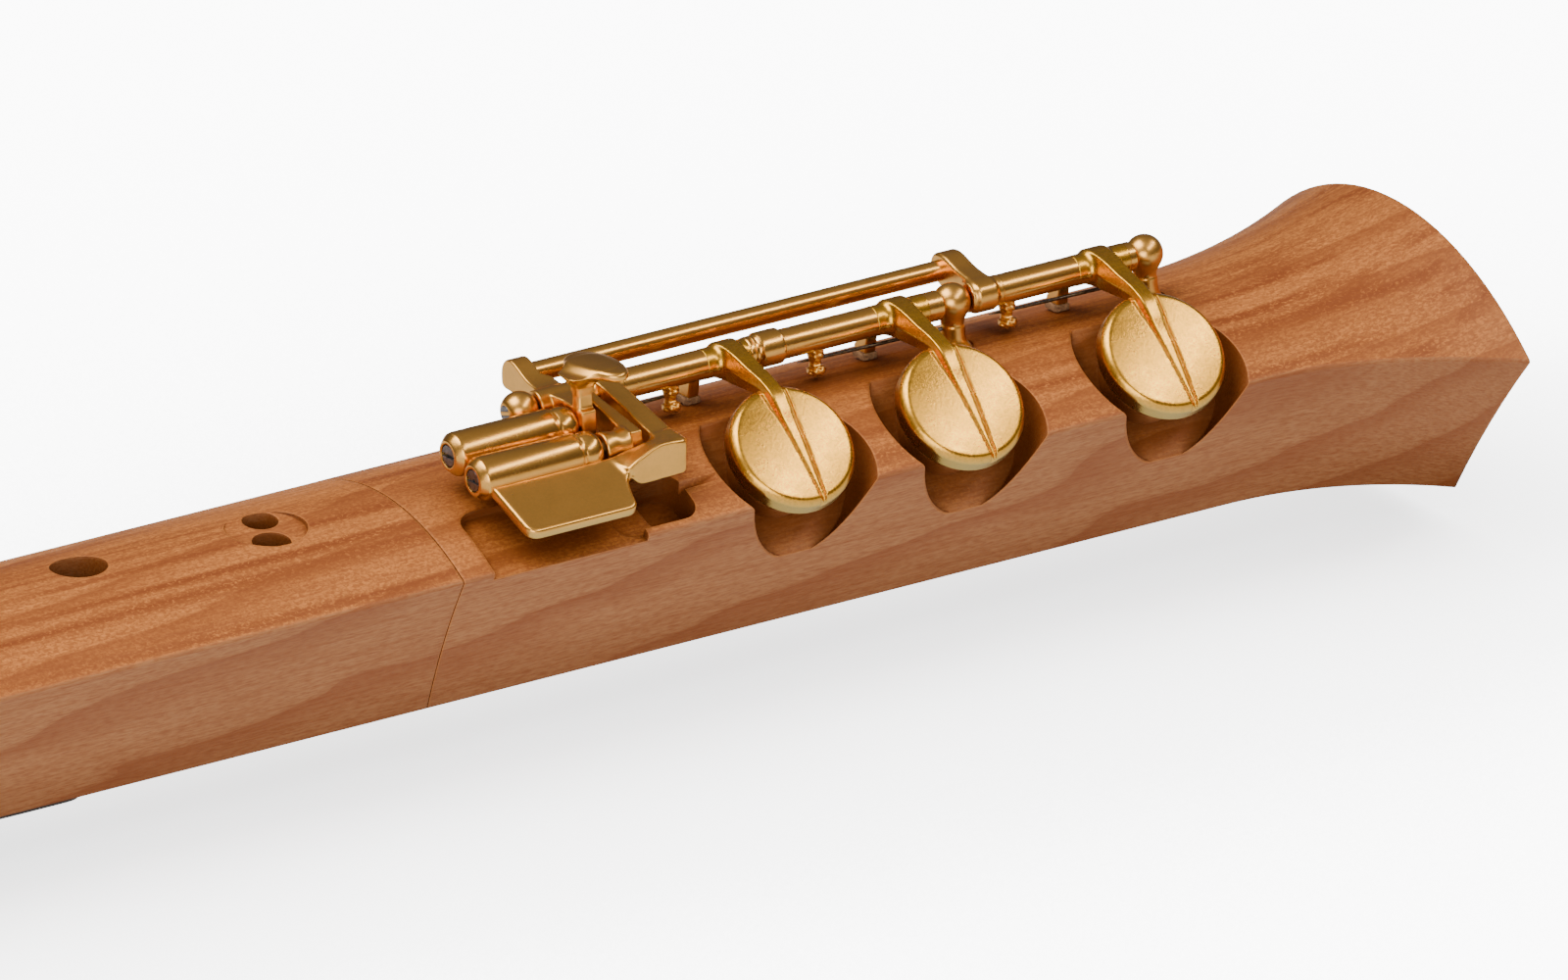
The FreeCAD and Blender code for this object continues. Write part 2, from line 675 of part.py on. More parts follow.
def make_head_joint():
    """The head: section, beak, windway, window and labium ramp."""
    far = HEAD_SHOULDER - D.head_length
    blank = new_body("HeadBlank")
    straight = outline(blank, "YZ_Plane", section_points(), section_rises(), (0, 0, far))
    ease_arrises(blank, pad(blank, straight, D.head_length))
    bend = far + D.beak_length
    top_bend = far + D.beak_length * 0.6
    side = [
        (far, D.beak_under),
        (bend, -D.keel_depth - 1),
        (HEAD_SHOULDER, -D.keel_depth - 1),
        (HEAD_SHOULDER, D.crown_height + 1),
        (top_bend, D.crown_height + 0.3),
        (far + 2, D.beak_top),
        (far, D.beak_top - 2),
    ]
    side_rises = {0: -5.5, 4: 0.3, 5: 0.6}
    flank = slab("HeadSide", "XZ_Plane", side, 60, side_rises)
    plan_bend = far + D.beak_length * 1.4
    plan = [
        (far, -D.beak_half + 3),
        (far + 3, -D.beak_half),
        (plan_bend, -D.half_width - 0.5),
        (HEAD_SHOULDER, -D.half_width - 0.5),
        (HEAD_SHOULDER, D.half_width + 0.5),
        (plan_bend, D.half_width + 0.5),
        (far + 3, D.beak_half),
        (far, D.beak_half - 3),
    ]
    outline_above = slab("HeadPlan", "XY_Plane", plan, 60, {0: 0.9, 1: 2.0, 5: 2.0, 6: 0.9})
    beak = common("HeadShape", blank, flank, outline_above)
    edge = HEAD_SHOULDER - D.window_far
    exit_x = edge - D.window_length
    wide = D.windway_half * 2
    ramp = slab(
        "Ramp",
        "XZ_Plane",
        [
            (edge, D.labium_height),
            (edge + D.ramp_length, D.crown_height),
            (edge, D.crown_height + 3),
        ],
        wide,
    )
    socket_end = HEAD_SHOULDER - D.head_tenon_reach - 0.5
    cutters = [
        rod("HeadBore", D.head_bore, D.head_length + 2, (far - 1, 0, 0)),
        rod("HeadSocket", D.head_socket, D.head_tenon_reach + 0.6, (socket_end, 0, 0)),
        block("Windway", (exit_x - far + 1, wide, D.windway_roof), (far - 1, -D.windway_half, 0)),
        block("Window", (D.window_length, wide, 12), (exit_x, -D.windway_half, 6)),
        ramp,
    ]
    finished(cut("HeadJoint", beak, *cutters), "head_joint")
    core = rod("BlockCore", D.head_bore - D.running_gap, exit_x - far, (far, 0, 0))
    tongue = block(
        "BlockTongue",
        (exit_x - far, wide - 0.1, D.windway_floor),
        (far, 0.05 - D.windway_half, 0),
    )
    over = block("BlockTop", (D.head_length, 30, 10), (far - 1, -15, D.windway_floor))
    plug = cut("BlockBlank", fuse("BlockRound", core, tongue), over)
    under = slab("BlockSide", "XZ_Plane", side, 60, side_rises)
    finished(common("Block", plug, under), "windway_block")


# ---------------------------------------------------------------- posts, rod and springs


def make_post(label, station, cutters):
    """A turned post: flared base, neck and ball, flattened where the hinge tubes meet it."""
    drop = root(D.ball_radius * D.ball_radius - D.neck_radius * D.neck_radius)
    chord_squared = D.neck_radius * D.neck_radius + (D.ball_radius + drop) * (D.ball_radius + drop)
    ball_rise = D.ball_radius - root(D.ball_radius * D.ball_radius - chord_squared / 4)
    waist = D.post_seat + 2.4
    body = turned(
        "PostTurning",
        [
            (0, D.post_seat),
            (D.post_base, D.post_seat),
            (D.post_base, D.post_seat + 0.5),
            (D.neck_radius, waist),
            (D.neck_radius, D.hinge_height - drop),
            (0, D.hinge_height + D.ball_radius),
        ],
        {2: -0.35, 4: ball_rise},
        "V_Axis",
    )
    screw = rod(
        "PostScrew",
        D.post_screw,
        D.post_screw_length + 0.5,
        (0, 0, D.post_seat - D.post_screw_length),
        ("z", 0),
    )
    width = 6
    sides = [
        block("Flat", (3, width, width), (D.ball_flat, -width / 2, D.hinge_height - width / 2)),
        block("Flat", (3, width, width), (-D.ball_flat - 3, -width / 2, D.hinge_height - width / 2)),
    ]
    post = cut(label.title(), fuse("PostBlank", body, screw), *sides, *cutters)
    finished(post, label, (station, 0, 0))


def needle(name, station, hook):
    """A straight needle spring, from inside its post to just past its hook, and how it lies."""
    way = 1 if hook > station else -1
    tail = D.neck_radius + 1.6
    start = (station - tail * way, -0.1, D.spring_height + 0.3)
    run = Vector(hook - station + D.spring_past * way, D.spring_aside, -0.3)
    lie = Rotation(Vector(0, 0, 1), run)
    spring = doc.addObject("Part::Cylinder", name)
    spring.setExpression("Radius", D.spring_radius.formula)
    spring.Height = run.Length + tail
    return place(spring, start, lie), start, lie


def make_posts_and_rod():
    """The three posts with their needle springs, and the rod screw through all of them."""
    last = D.post_lower + D.ball_flat - 0.9
    head_end = D.post_upper - D.ball_flat + 0.9
    rows = [
        ("upper", D.post_upper, D.hook_first),
        ("middle", D.post_middle, D.hook_second),
        ("lower", D.post_lower, D.hook_third),
    ]
    for row, station, hook in rows:
        hole_length = last - station + 4 if row == "lower" else 8
        cutters = [
            rod("RodHole", D.rod_radius, hole_length, (-4, 0, D.hinge_height)),
            needle("SpringHole", Size(0), hook - station)[0],
        ]
        if row == "upper":
            sink = (head_end - station - 3, 0, D.hinge_height)
            cutters.append(rod("HeadSink", D.inner_tube, 3, sink))
        make_post(f"post_{row}", station, cutters)
        spring, start, lie = needle("Needle", station, hook)
        finished(spring, f"needle_spring_{row}", start, lie)
    start = D.post_upper - D.ball_flat + 0.1
    shaft = turned(
        "HingeShaft",
        [
            (start, 0),
            (last, 0),
            (last, D.rod_radius),
            (head_end, D.rod_radius),
            (head_end, D.inner_tube - D.running_gap),
            (start, D.inner_tube - D.running_gap),
        ],
    )
    slot = block("RodSlot", (0.5, 4, 0.5), (start - 0.05, -2, -0.25))
    finished(cut("HingeRod", shaft, slot), "hinge_rod", (0, 0, D.hinge_height))


# ---------------------------------------------------------------- key parts


def ring(name, start, stop, outer, inner):
    """A plain tube round the X axis."""
    return turned(name, [(start, inner), (stop, inner), (stop, outer), (start, outer)])


def make_tube(label, start, stop, outer, inner):
    finished(ring(label.title(), start, stop, outer, inner), label, (0, 0, D.hinge_height))


def opened(y, z):
    """A point of a closed key, turned back about the hinge to where it stands at rest."""
    up = z - D.hinge_height
    swing_cos, swing_sin = cosine(D.key_travel), sine(D.key_travel)
    return y * swing_cos + up * swing_sin, up * swing_cos - y * swing_sin + D.hinge_height


FACE = opened(*radial(D.seat_height + D.pad_lift + D.pad_proud + D.cup_height))
CUP_TILT = D.tone_tilt - D.key_travel


def on_cup(back, up):
    """Y and Z of a point given by its distance behind the cup's centre and above its face."""
    lean, stand = sine(CUP_TILT), cosine(CUP_TILT)
    return (FACE[0] + back * stand - up * lean, FACE[1] + back * lean + up * stand)


def make_cup(key, station):
    """One casting: the cup, and the arm that saddles its tube and runs out over the cup."""
    radius, inner = D.cup_radius, D.cup_radius - D.cup_wall
    ceiling = -D.cup_wall - 0.1
    cup = turned(
        "CupTurning",
        [
            (inner, -D.cup_height),
            (radius, -D.cup_height),
            (radius, -0.6),
            (radius - 0.6, 0),
            (radius * 0.45, D.cup_crown),
            (0, D.cup_crown),
            (0, ceiling),
            (inner, ceiling),
        ],
        {2: 0.17},
        "V_Axis",
    )
    place(cup, (station, *FACE), ("x", CUP_TILT))
    rear = radius - 0.2
    side = slab(
        "ArmSide",
        "YZ_Plane",
        [
            on_cup(-radius + 0.9, -0.3),
            on_cup(rear, -0.3),
            on_cup(rear, -2.2),
            (-4.5, 17.4),
            (0, D.hinge_height - D.tube_radius - 0.5),
            (2.5, 19.4),
            (2.6, 21.3),
            (0.4, D.hinge_height + D.tube_radius + 0.7),
            (-4.2, D.hinge_height + D.tube_radius + 0.2),
            on_cup(rear - 0.4, 2.3),
            on_cup(-radius + 0.9, 0.25),
        ],
        60,
        {6: 0.5, 7: 0.1, 8: 0.35, 9: 0.35},
    )
    plan = slab(
        "ArmPlan",
        "XY_Plane",
        [
            (station + 0.4, -23.8),
            (station + 1.7, -14),
            (station + 2.2, -8),
            (station + 2.6, 3),
            (station - 2.6, 3),
            (station - 2.2, -8),
            (station - 1.7, -14),
            (station - 0.4, -23.8),
        ],
        80,
    )
    casting = fuse("CupAndArm", cup, common("Arm", side, plan))
    saddle = rod("Saddle", D.tube_radius, 12, (station - 6, 0, D.hinge_height))
    finished(cut(f"Cup{key}", casting, saddle), f"{key}_cup")
    soft = turned(
        "PadTurning",
        [
            (0, -D.cup_height - D.pad_proud),
            (inner - 0.8, -D.cup_height - D.pad_proud),
            (inner, -D.cup_height - D.pad_proud + 0.5),
            (inner, ceiling),
            (0, ceiling),
        ],
        {1: 0.2},
        "V_Axis",
    )
    finished(soft, f"{key}_pad", (station, *FACE), ("x", CUP_TILT))


def make_stop(key, station):
    """The heel behind a key's tube, with the cork that rests on the wood."""
    heel = slab(
        "HeelSide",
        "YZ_Plane",
        [(1.5, 17.4), (2.0, 15.1), (5.0, 15.1), (5.0, 15.9), (3.4, 17.2), (2.2, 20.2), (1.0, 19.4)],
        D.heel_half * 2,
        offset=(0, 0, station),
    )
    saddle = rod("HeelSaddle", D.tube_radius, 6, (station - 3, 0, D.hinge_height))
    finished(cut("Heel", heel, saddle), f"{key}_stop_heel")
    cork_bottom = D.crown_height + 0.03
    cork = block("Cork", (D.heel_half * 2, 3.0, 15.1 - cork_bottom), (0, 0, 0))
    finished(cork, f"{key}_stop_cork", (station - D.heel_half, 2.0, cork_bottom))


def make_hook(key, station):
    """The grooved peg under a tube that the needle spring bears on."""
    peg = turned(
        "HookTurning",
        [
            (0, -5.6),
            (0.9, -5.6),
            (0.9, -4.4),
            (0.5, -4.1),
            (0.5, -3.6),
            (0.9, -3.3),
            (0.9, -1.2),
            (0, -1.2),
        ],
        axis="V_Axis",
    )
    place(peg, (station, 0, D.hinge_height))
    saddle = rod("HookSaddle", D.tube_radius, 6, (station - 3, 0, D.hinge_height))
    finished(cut("Hook", peg, saddle), f"{key}_spring_hook")


def make_roller(label, pin_label, y, z, pin_end):
    """A brass roller with a bead at its lower end, on a slotted pin."""
    bore = D.rod_radius + D.running_gap
    sink = 1.55
    sunk = D.roller_start + 0.9
    roller = turned(
        label.title(),
        [
            (sunk, bore),
            (D.roller_end, bore),
            (D.roller_end, 1.9),
            (D.bead_start, 2.3),
            (D.bead_start - 0.3, 2.3),
            (D.bead_start - 0.3, D.roller_radius),
            (D.roller_start + 1.1, D.roller_radius),
            (D.roller_start, D.roller_radius - 1.0),
            (D.roller_start, sink),
            (sunk, sink),
        ],
        {2: 0.6},
    )
    finished(roller, label, (0, y, z))
    pin = turned(
        pin_label.title(),
        [
            (D.roller_start + 0.1, 0),
            (pin_end, 0),
            (pin_end, D.rod_radius),
            (sunk - 0.06, D.rod_radius),
            (sunk - 0.06, sink - 0.06),
            (D.roller_start + 0.1, sink - 0.06),
        ],
    )
    slot = block("PinSlot", (0.5, 4, 0.5), (D.roller_start, -2, -0.25))
    turned_slot = cut("PinBlank", pin, slot)
    finished(turned_slot, pin_label, (0, y, z))


def make_f_sharp_key():
    make_tube(
        "f_sharp_tube",
        D.touch_start,
        D.collar_start - D.end_gap,
        D.tube_radius,
        D.inner_tube + D.running_gap,
    )
    make_cup("f_sharp", D.tone_first)
    make_stop("f_sharp", D.heel_first)
    make_hook("f_sharp", D.hook_first)
    bar = common(
        "TouchBar",
        slab(
            "BarPlan",
            "XY_Plane",
            [(34.6, -16.0), (34.6, -19.0), (38.0, -18.6), (36.8, 1.2), (34.25, 1.2), (34.25, -1.4)],
            80,
        ),
        slab(
            "BarSide",
            "YZ_Plane",
            [
                (-19.2, 13.1),
                (-16.0, 13.1),
                (-13.5, 16.3),
                (-2.0, 18.6),
                (1.2, 19.6),
                (1.2, 22.9),
                (-2.4, 22.25),
                (-16.2, 18.5),
                (-19.2, 17.7),
            ],
            100,
            {1: -0.4},
        ),
    )
    corner = slab(
        "TouchCorner",
        "XZ_Plane",
        [(28.0, 14.6), (29.7, 13.7), (38.0, 13.1), (38.0, 17.7), (34.7, 18.2), (28.0, 16.3)],
        2.9,
        {4: 0.25},
        offset=(0, 0, 17.6),
    )
    plate = common(
        "TouchPlate",
        slab(
            "PlatePlan",
            "XY_Plane",
            [
                (D.plate_start, D.plate_rear),
                (D.plate_start, D.plate_front + 0.7),
                (D.plate_start + 0.7, D.plate_front),
                (D.plate_start + 16.2, D.plate_front),
                (D.plate_start + 17.4, D.plate_front + 0.7),
                (D.plate_start + 19.6, D.plate_rear - 2.9),
                (D.plate_start + 19.6, D.plate_rear),
            ],
            80,
            {2: 0.3},
        ),
        slab(
            "PlateSide",
            "YZ_Plane",
            [
                (D.plate_front + 0.7, 11.7),
                (D.plate_rear + 0.7, 15.5),
                (D.plate_rear, 17.1),
                (D.plate_front, 13.2),
            ],
            80,
        ),
    )
    touch = fuse("FSharpTouch", bar, corner, plate)
    saddle = rod("TouchSaddle", D.tube_radius, 10, (30, 0, D.hinge_height))
    finished(cut("FSharpTouchCut", touch, saddle), "f_sharp_touch")


def make_f_key():
    tube_start = D.collar_start + 3.7
    bore = D.rod_radius + D.running_gap
    make_tube("f_inner_tube", D.lever_start, tube_start, D.inner_tube, bore)
    make_tube("f_tube", tube_start, D.post_middle - D.ball_flat - D.end_gap, D.tube_radius, bore)
    collar = turned(
        "Collar",
        [
            (D.collar_start, D.inner_tube),
            (tube_start, D.inner_tube),
            (tube_start, D.tube_radius),
            (D.collar_end, D.tube_radius),
            (D.collar_end, D.collar_radius),
            (D.collar_start + 1.9, D.collar_radius),
            (D.collar_start + 1.6, D.tube_radius),
            (D.collar_start, D.tube_radius),
        ],
    )
    finished(collar, "f_collar", (0, 0, D.hinge_height))
    make_cup("f", D.tone_second)
    make_stop("f", D.heel_second)
    make_hook("f", D.hook_second)
    arm = common(
        "LeverBar",
        slab(
            "LeverPlan",
            "XY_Plane",
            [(31.2, -14.5), (33.8, -14.5), (33.4, -4.0), (33.4, 2.6), (31.2, 2.6)],
            80,
        ),
        slab(
            "LeverSide",
            "YZ_Plane",
            [
                (-14.5, 16.6),
                (-12.8, 15.3),
                (-10.0, 16.6),
                (-2.0, 18.6),
                (0, 18.2),
                (2.6, 20.5),
                (0, 22.9),
                (-2.4, 22.25),
                (-14.3, 19.0),
            ],
            100,
        ),
    )
    hub = ring("LeverHub", D.lever_start, D.lever_end, D.tube_radius + 0.3, bore)
    place(hub, (0, 0, D.hinge_height))
    axis_start = (D.barrel_start, D.front_roller_y, D.front_roller_z)
    barrel = rod("Barrel", D.barrel_radius, D.barrel_length, axis_start)
    casting = fuse("LeverBlank", arm, hub, barrel)
    pin_end = 31.0
    lever = cut(
        "FLever",
        casting,
        rod("LeverBore", D.inner_tube, 20, (20, 0, D.hinge_height)),
        rod("LeverPinHole", D.rod_radius, 8, (pin_end - 8, D.front_roller_y, D.front_roller_z)),
    )
    finished(lever, "f_lever")
    make_roller("front_roller", "front_roller_pin", D.front_roller_y, D.front_roller_z, pin_end)


def make_e_key():
    bore = D.rod_radius + D.running_gap
    hub = ring("CrankHub", D.crank_start, D.crank_end, D.tube_radius + 0.5, bore)
    place(hub, (0, 0, D.hinge_height))
    bridge_boss = rod("BridgeBoss", 2.4, 4.7, (D.bridge_start - 0.7, D.bridge_y, D.bridge_z))
    boss_start = (D.boss_start, D.rear_roller_y, D.rear_roller_z)
    roller_boss = rod("RollerBoss", 2.5, D.boss_length, boss_start)
    arms = slab(
        "CrankArms",
        "YZ_Plane",
        [
            (-8.6, 17.9),
            (-6.5, 17.2),
            (0, 18.4),
            (7.0, 20.1),
            (9.6, 20.9),
            (9.6, 23.1),
            (7.0, 24.0),
            (3.0, 22.7),
            (0, 22.8),
            (-5.0, 22.0),
            (-8.6, 21.2),
        ],
        2.9,
        {2: -0.2, 7: -0.3},
        offset=(0, 0, 28.9),
    )
    stem = block("LeafStem", (2.4, 2.3, 7.0), (27.7, -7.7, 19.0))
    leaf = slab(
        "Leaf",
        "XY_Plane",
        [(4.7, 0), (0, 2.5), (-4.7, 0), (0, -2.5)],
        D.leaf_thick,
        {0: 0.9, 1: 0.9, 2: 0.9, 3: 0.9},
    )
    place(leaf, (30.7, -7.2, D.leaf_height), ("z", D.leaf_turn))
    casting = fuse("CrankBlank", hub, bridge_boss, roller_boss, arms, stem, leaf)
    pin_end = 30.0
    lever = cut(
        "ELever",
        casting,
        rod("CrankBore", bore, 20, (20, 0, D.hinge_height)),
        rod("BridgeHole", D.bridge_radius, 8, (D.bridge_start, D.bridge_y, D.bridge_z)),
        rod("CrankPinHole", D.rod_radius, 8, (pin_end - 8, D.rear_roller_y, D.rear_roller_z)),
    )
    finished(lever, "e_lever")
    bridge = rod("Bridge", D.bridge_radius, D.bridge_end - D.bridge_start, (0, 0, 0))
    bridge_base = (D.bridge_start, D.bridge_y, D.bridge_z)
    finished(bridge, "e_bridge_rod", bridge_base, ("y", 90.0))
    tube_start = D.post_middle + D.ball_flat + D.end_gap
    tube_end = D.post_lower - D.ball_flat - D.end_gap
    make_tube("e_tube", tube_start, tube_end, D.tube_radius, bore)
    crank = slab(
        "RightCrank",
        "YZ_Plane",
        [
            (-2.3, 19.0),
            (0, 17.9),
            (4.5, 18.9),
            (9.7, 20.6),
            (9.7, 23.2),
            (7.9, 24.2),
            (5.5, 23.8),
            (1.5, 22.9),
            (-1.6, 22.7),
        ],
        D.far_crank_width,
        {0: 0.4, 2: -0.2, 3: 0.4, 4: 0.3, 6: -0.2, 8: 0.4},
        offset=(0, 0, D.far_crank),
    )
    crank_cut = cut(
        "RightCrankCut",
        crank,
        rod("CrankTubeHole", D.tube_radius, 10, (D.far_crank - 5, 0, D.hinge_height)),
        rod("CrankRodHole", D.bridge_radius, 10, (D.bridge_end - 10, D.bridge_y, D.bridge_z)),
    )
    finished(crank_cut, "e_crank")
    make_cup("e", D.tone_third)
    make_stop("e", D.heel_third)
    make_hook("e", D.hook_third)
    make_roller("rear_roller", "rear_roller_pin", D.rear_roller_y, D.rear_roller_z, pin_end)


make_foot_joint()
make_middle_joint()
tenon_cork("foot_tenon_cork", Size(0), 1, D.tenon_reach, D.tenon_outer)
tenon_cork("head_tenon_cork", HEAD_SHOULDER, -1, D.head_tenon_reach, D.head_tenon_outer)
make_thumb_rest()
make_head_joint()
make_posts_and_rod()
make_f_sharp_key()
make_f_key()
make_e_key()
doc.recompute()

failed = [obj.Name for obj in doc.Objects if "Invalid" in obj.State or "Error" in obj.State]
for sub_part in subparts:
    if sub_part.Shape.isNull() or not sub_part.Shape.isValid() or not sub_part.Shape.Solids:
        failed.append(sub_part.Label)
if failed:
    raise RuntimeError(f"these failed: {failed}")
os.makedirs("parts", exist_ok=True)
for sub_part in subparts:
    sub_part.Shape.exportStep(f"parts/{sub_part.Label}.step")
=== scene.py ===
"""Looks of the keyed recorder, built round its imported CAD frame.

Castings are drawn as distance fields in the drawing frame, in millimetres: X runs down the bore
from the joint between middle and foot, Z is up, and the bore axis is Y = Z = 0. Everything is
then moved one foot length back, into the row's frame, whose origin is the bell mouth.
"""

import math

import bpy
import numpy as np
import openvdb
from mathutils import Matrix, Vector


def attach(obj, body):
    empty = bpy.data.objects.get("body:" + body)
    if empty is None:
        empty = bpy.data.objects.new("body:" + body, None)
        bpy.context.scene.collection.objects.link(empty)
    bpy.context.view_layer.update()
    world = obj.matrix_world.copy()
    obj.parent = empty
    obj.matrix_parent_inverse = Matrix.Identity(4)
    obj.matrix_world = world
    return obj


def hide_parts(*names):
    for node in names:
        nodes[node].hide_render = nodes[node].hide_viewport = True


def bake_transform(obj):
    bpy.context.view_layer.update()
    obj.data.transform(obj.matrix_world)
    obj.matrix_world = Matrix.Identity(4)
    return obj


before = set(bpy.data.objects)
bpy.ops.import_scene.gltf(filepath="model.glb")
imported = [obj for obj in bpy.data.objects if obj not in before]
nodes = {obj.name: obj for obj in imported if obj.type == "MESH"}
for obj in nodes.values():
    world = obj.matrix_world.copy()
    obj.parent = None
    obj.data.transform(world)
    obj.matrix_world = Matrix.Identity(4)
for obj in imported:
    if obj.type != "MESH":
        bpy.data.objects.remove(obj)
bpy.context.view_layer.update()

MM = 0.001
FOOT_LENGTH = 163.2

# Where the cups, hooks, heels and posts stand along X.
STATIONS = {"f_sharp": 55.95, "f": 83.2, "e": 115.6}
HOOKS = {"f_sharp": 46.8, "f": 70.0, "e": 100.8}
HEELS = {"f_sharp": 51.6, "f": 80.0, "e": 111.0}
POSTS = {"upper": 22.8, "middle": 92.0, "lower": 123.1}

# Axes along X, as (Y, Z).
HINGE_Z = 20.5
HINGE = (0, HINGE_Z)
REAR_ROLLER = (-6.5, 19.3)
FRONT_ROLLER = (-12.8, 17.6)

# The tubes: castings wrap round them just outside, and end within their wall.
TUBE_RADIUS = 2.1
SADDLE = TUBE_RADIUS + 0.03
PEG_ROOM = TUBE_RADIUS - 0.2
TUBE_ROOM = TUBE_RADIUS - 0.3

# The tube inside the first key, and the room that a lever leaves for the rod.
INNER_TUBE_RADIUS = 1.4
ROD_ROOM = 1.0

# The middle of a cup's face, as (Y, Z), and its tilt and size.
FACE = (-16.81, 12.937)
CUP_TILT = math.radians(47.0)
CUP_RADIUS = 9.1

# A turned piece shows an edge where its faces meet at more than this.
CREASE = math.radians(28)


def at(x, y, z):
    """A point of the drawing frame, in the row's frame."""
    return Vector(((x - FOOT_LENGTH) * MM, y * MM, z * MM))


def placed(name, data):
    """A new object in the scene, holding the given mesh, lamp or camera."""
    obj = bpy.data.objects.new(name, data)
    bpy.context.scene.collection.objects.link(obj)
    return obj


# ---------------------------------------------------------------- distance fields


def polygon(u, v, corners):
    """Signed distance to a closed outline, below zero inside."""
    corners = np.asarray(corners, np.float32)
    nearest = np.float32(1e9)
    inside = np.zeros(np.broadcast(u, v).shape, bool)
    for start, stop in zip(corners, np.roll(corners, -1, axis=0)):
        edge = stop - start
        du, dv = u - start[0], v - start[1]
        share = np.clip((du * edge[0] + dv * edge[1]) / float(edge @ edge), 0, 1)
        nearest = np.minimum(nearest, (du - share * edge[0]) ** 2 + (dv - share * edge[1]) ** 2)
        if abs(edge[1]) > 1e-9:
            crosses = (start[1] > v) != (stop[1] > v)
            inside ^= crosses & (u < start[0] + dv * edge[0] / edge[1])
    return np.where(inside, -1, 1) * np.sqrt(nearest)


def curve(points, closed=True, steps=8):
    """Points along a smooth curve through the given ones."""
    points = np.asarray(points, float)
    count = len(points)
    spans = count if closed else count - 1
    found = []
    for index in range(spans):
        wanted = [index - 1, index, index + 1, index + 2]
        if closed:
            a, b, c, d = (points[i % count] for i in wanted)
        else:
            a, b, c, d = (points[min(max(i, 0), count - 1)] for i in wanted)
        for step in range(steps):
            t = step / steps
            found.append(
                0.5
                * (
                    2 * b
                    + (c - a) * t
                    + (2 * a - 5 * b + 4 * c - d) * t * t
                    + (3 * b - a - 3 * c + d) * t * t * t
                )
            )
    if not closed:
        found.append(points[-1])
    return np.array(found)


def eased(corners, radius, steps=5):
    """The outline with its corners rounded; radius is one number or one per corner."""
    corners = np.asarray(corners, float)
    count = len(corners)
    radii = [radius] * count if np.isscalar(radius) else radius
    found = []
    for index, corner in enumerate(corners):
        to_last = corners[index - 1] - corner
        to_next = corners[(index + 1) % count] - corner
        reach = min(radii[index], 0.45 * np.linalg.norm(to_last), 0.45 * np.linalg.norm(to_next))
        start = corner + to_last / np.linalg.norm(to_last) * reach
        stop = corner + to_next / np.linalg.norm(to_next) * reach
        for step in range(steps + 1):
            t = step / steps
            found.append(start * (1 - t) ** 2 + corner * 2 * t * (1 - t) + stop * t * t)
    return np.array(found)


def rounded(first, second, edge):
    """Where two regions overlap, with the edge between their faces rounded."""
    a, b = first + edge, second + edge
    return np.minimum(np.maximum(a, b), 0) + np.hypot(np.maximum(a, 0), np.maximum(b, 0)) - edge


def between(position, low, high):
    """Signed distance to the slab between two heights."""
    return np.abs(position - (low + high) / 2) - (high - low) / 2


def joined(first, second, fillet):
    """Either region, with a fillet where they meet."""
    share = np.clip(0.5 + 0.5 * (second - first) / fillet, 0, 1)
    return second * (1 - share) + first * share - fillet * share * (1 - share)


def shared(first, second, fillet):
    """Where two regions overlap, blended by the fillet."""
    return -joined(-first, -second, fillet)


def along_x(y, z, centre, radius):
    """Signed distance to a round bar along X."""
    return np.hypot(y - centre[0], z - centre[1]) - radius


def tabled(position, places, values):
    """Reads values off a table, going straight between its places."""
    return np.interp(position, places, values).astype(np.float32)


def tilted(y, z, origin, tilt):
    """How far back and up a point lies from an origin, in a frame tilted about X."""
    lean, stand = math.sin(tilt), math.cos(tilt)
    back = (y - origin[0]) * stand + (z - origin[1]) * lean
    up = (z - origin[1]) * stand - (y - origin[0]) * lean
    return back, up


def bored(casting, y, z, radius):
    """The casting, cut away round the hinge."""
    return np.maximum(casting, -along_x(y, z, HINGE, radius))


def saddled(casting, x, y, z, low, high, fillet):
    """The casting, wrapped round its tube from low to high along X."""
    sleeve = np.maximum(along_x(y, z, HINGE, SADDLE), between(x, low, high))
    return bored(joined(casting, sleeve, fillet), y, z, TUBE_ROOM)


def cast(name, low, high, field, step):
    """Meshes a distance field, given in the drawing frame, on a grid of that step."""
    lines = [np.arange(a - step, b + 2 * step, step, dtype=np.float32) for a, b in zip(low, high)]
    values = field(*np.meshgrid(*lines, indexing="ij", sparse=True))
    values = np.array(np.broadcast_to(values, [len(line) for line in lines]), np.float32, order="C")
    grid = openvdb.FloatGrid()
    grid.background = float(values.max()) + 1.0
    grid.copyFromArray(values)
    points, quads = grid.convertToQuads(isovalue=0.0)
    points = (points * step + np.array([line[0] for line in lines]) - (FOOT_LENGTH, 0, 0)) * MM
    corners = points[quads]
    spans = np.cross(corners[:, 2] - corners[:, 0], corners[:, 3] - corners[:, 1])
    if np.einsum("ij,ij->", corners[:, 0], spans) < 0:
        quads = quads[:, ::-1]
    return meshed(name, points, quads)


def meshed(name, points, faces, crease=None):
    """A smooth shaded mesh object, sharp across edges steeper than crease."""
    mesh = bpy.data.meshes.new(name)
    mesh.from_pydata([tuple(point) for point in points], [], [tuple(face) for face in faces])
    mesh.shade_smooth()
    if crease:
        mesh.set_sharp_from_angle(angle=crease)
    return placed(name, mesh)


def cast_row(pattern, stations, low, high, field, step):
    """One casting at each station, all with the first one's mesh; gives each one's key and object."""
    mesh = None
    for key, station in stations.items():
        name = pattern.format(key)
        if mesh is None:
            obj = cast(name, low, high, field, step)
            mesh = obj.data
        else:
            obj = placed(name, mesh)
        obj.location = (station * MM, 0, 0)
        yield key, obj


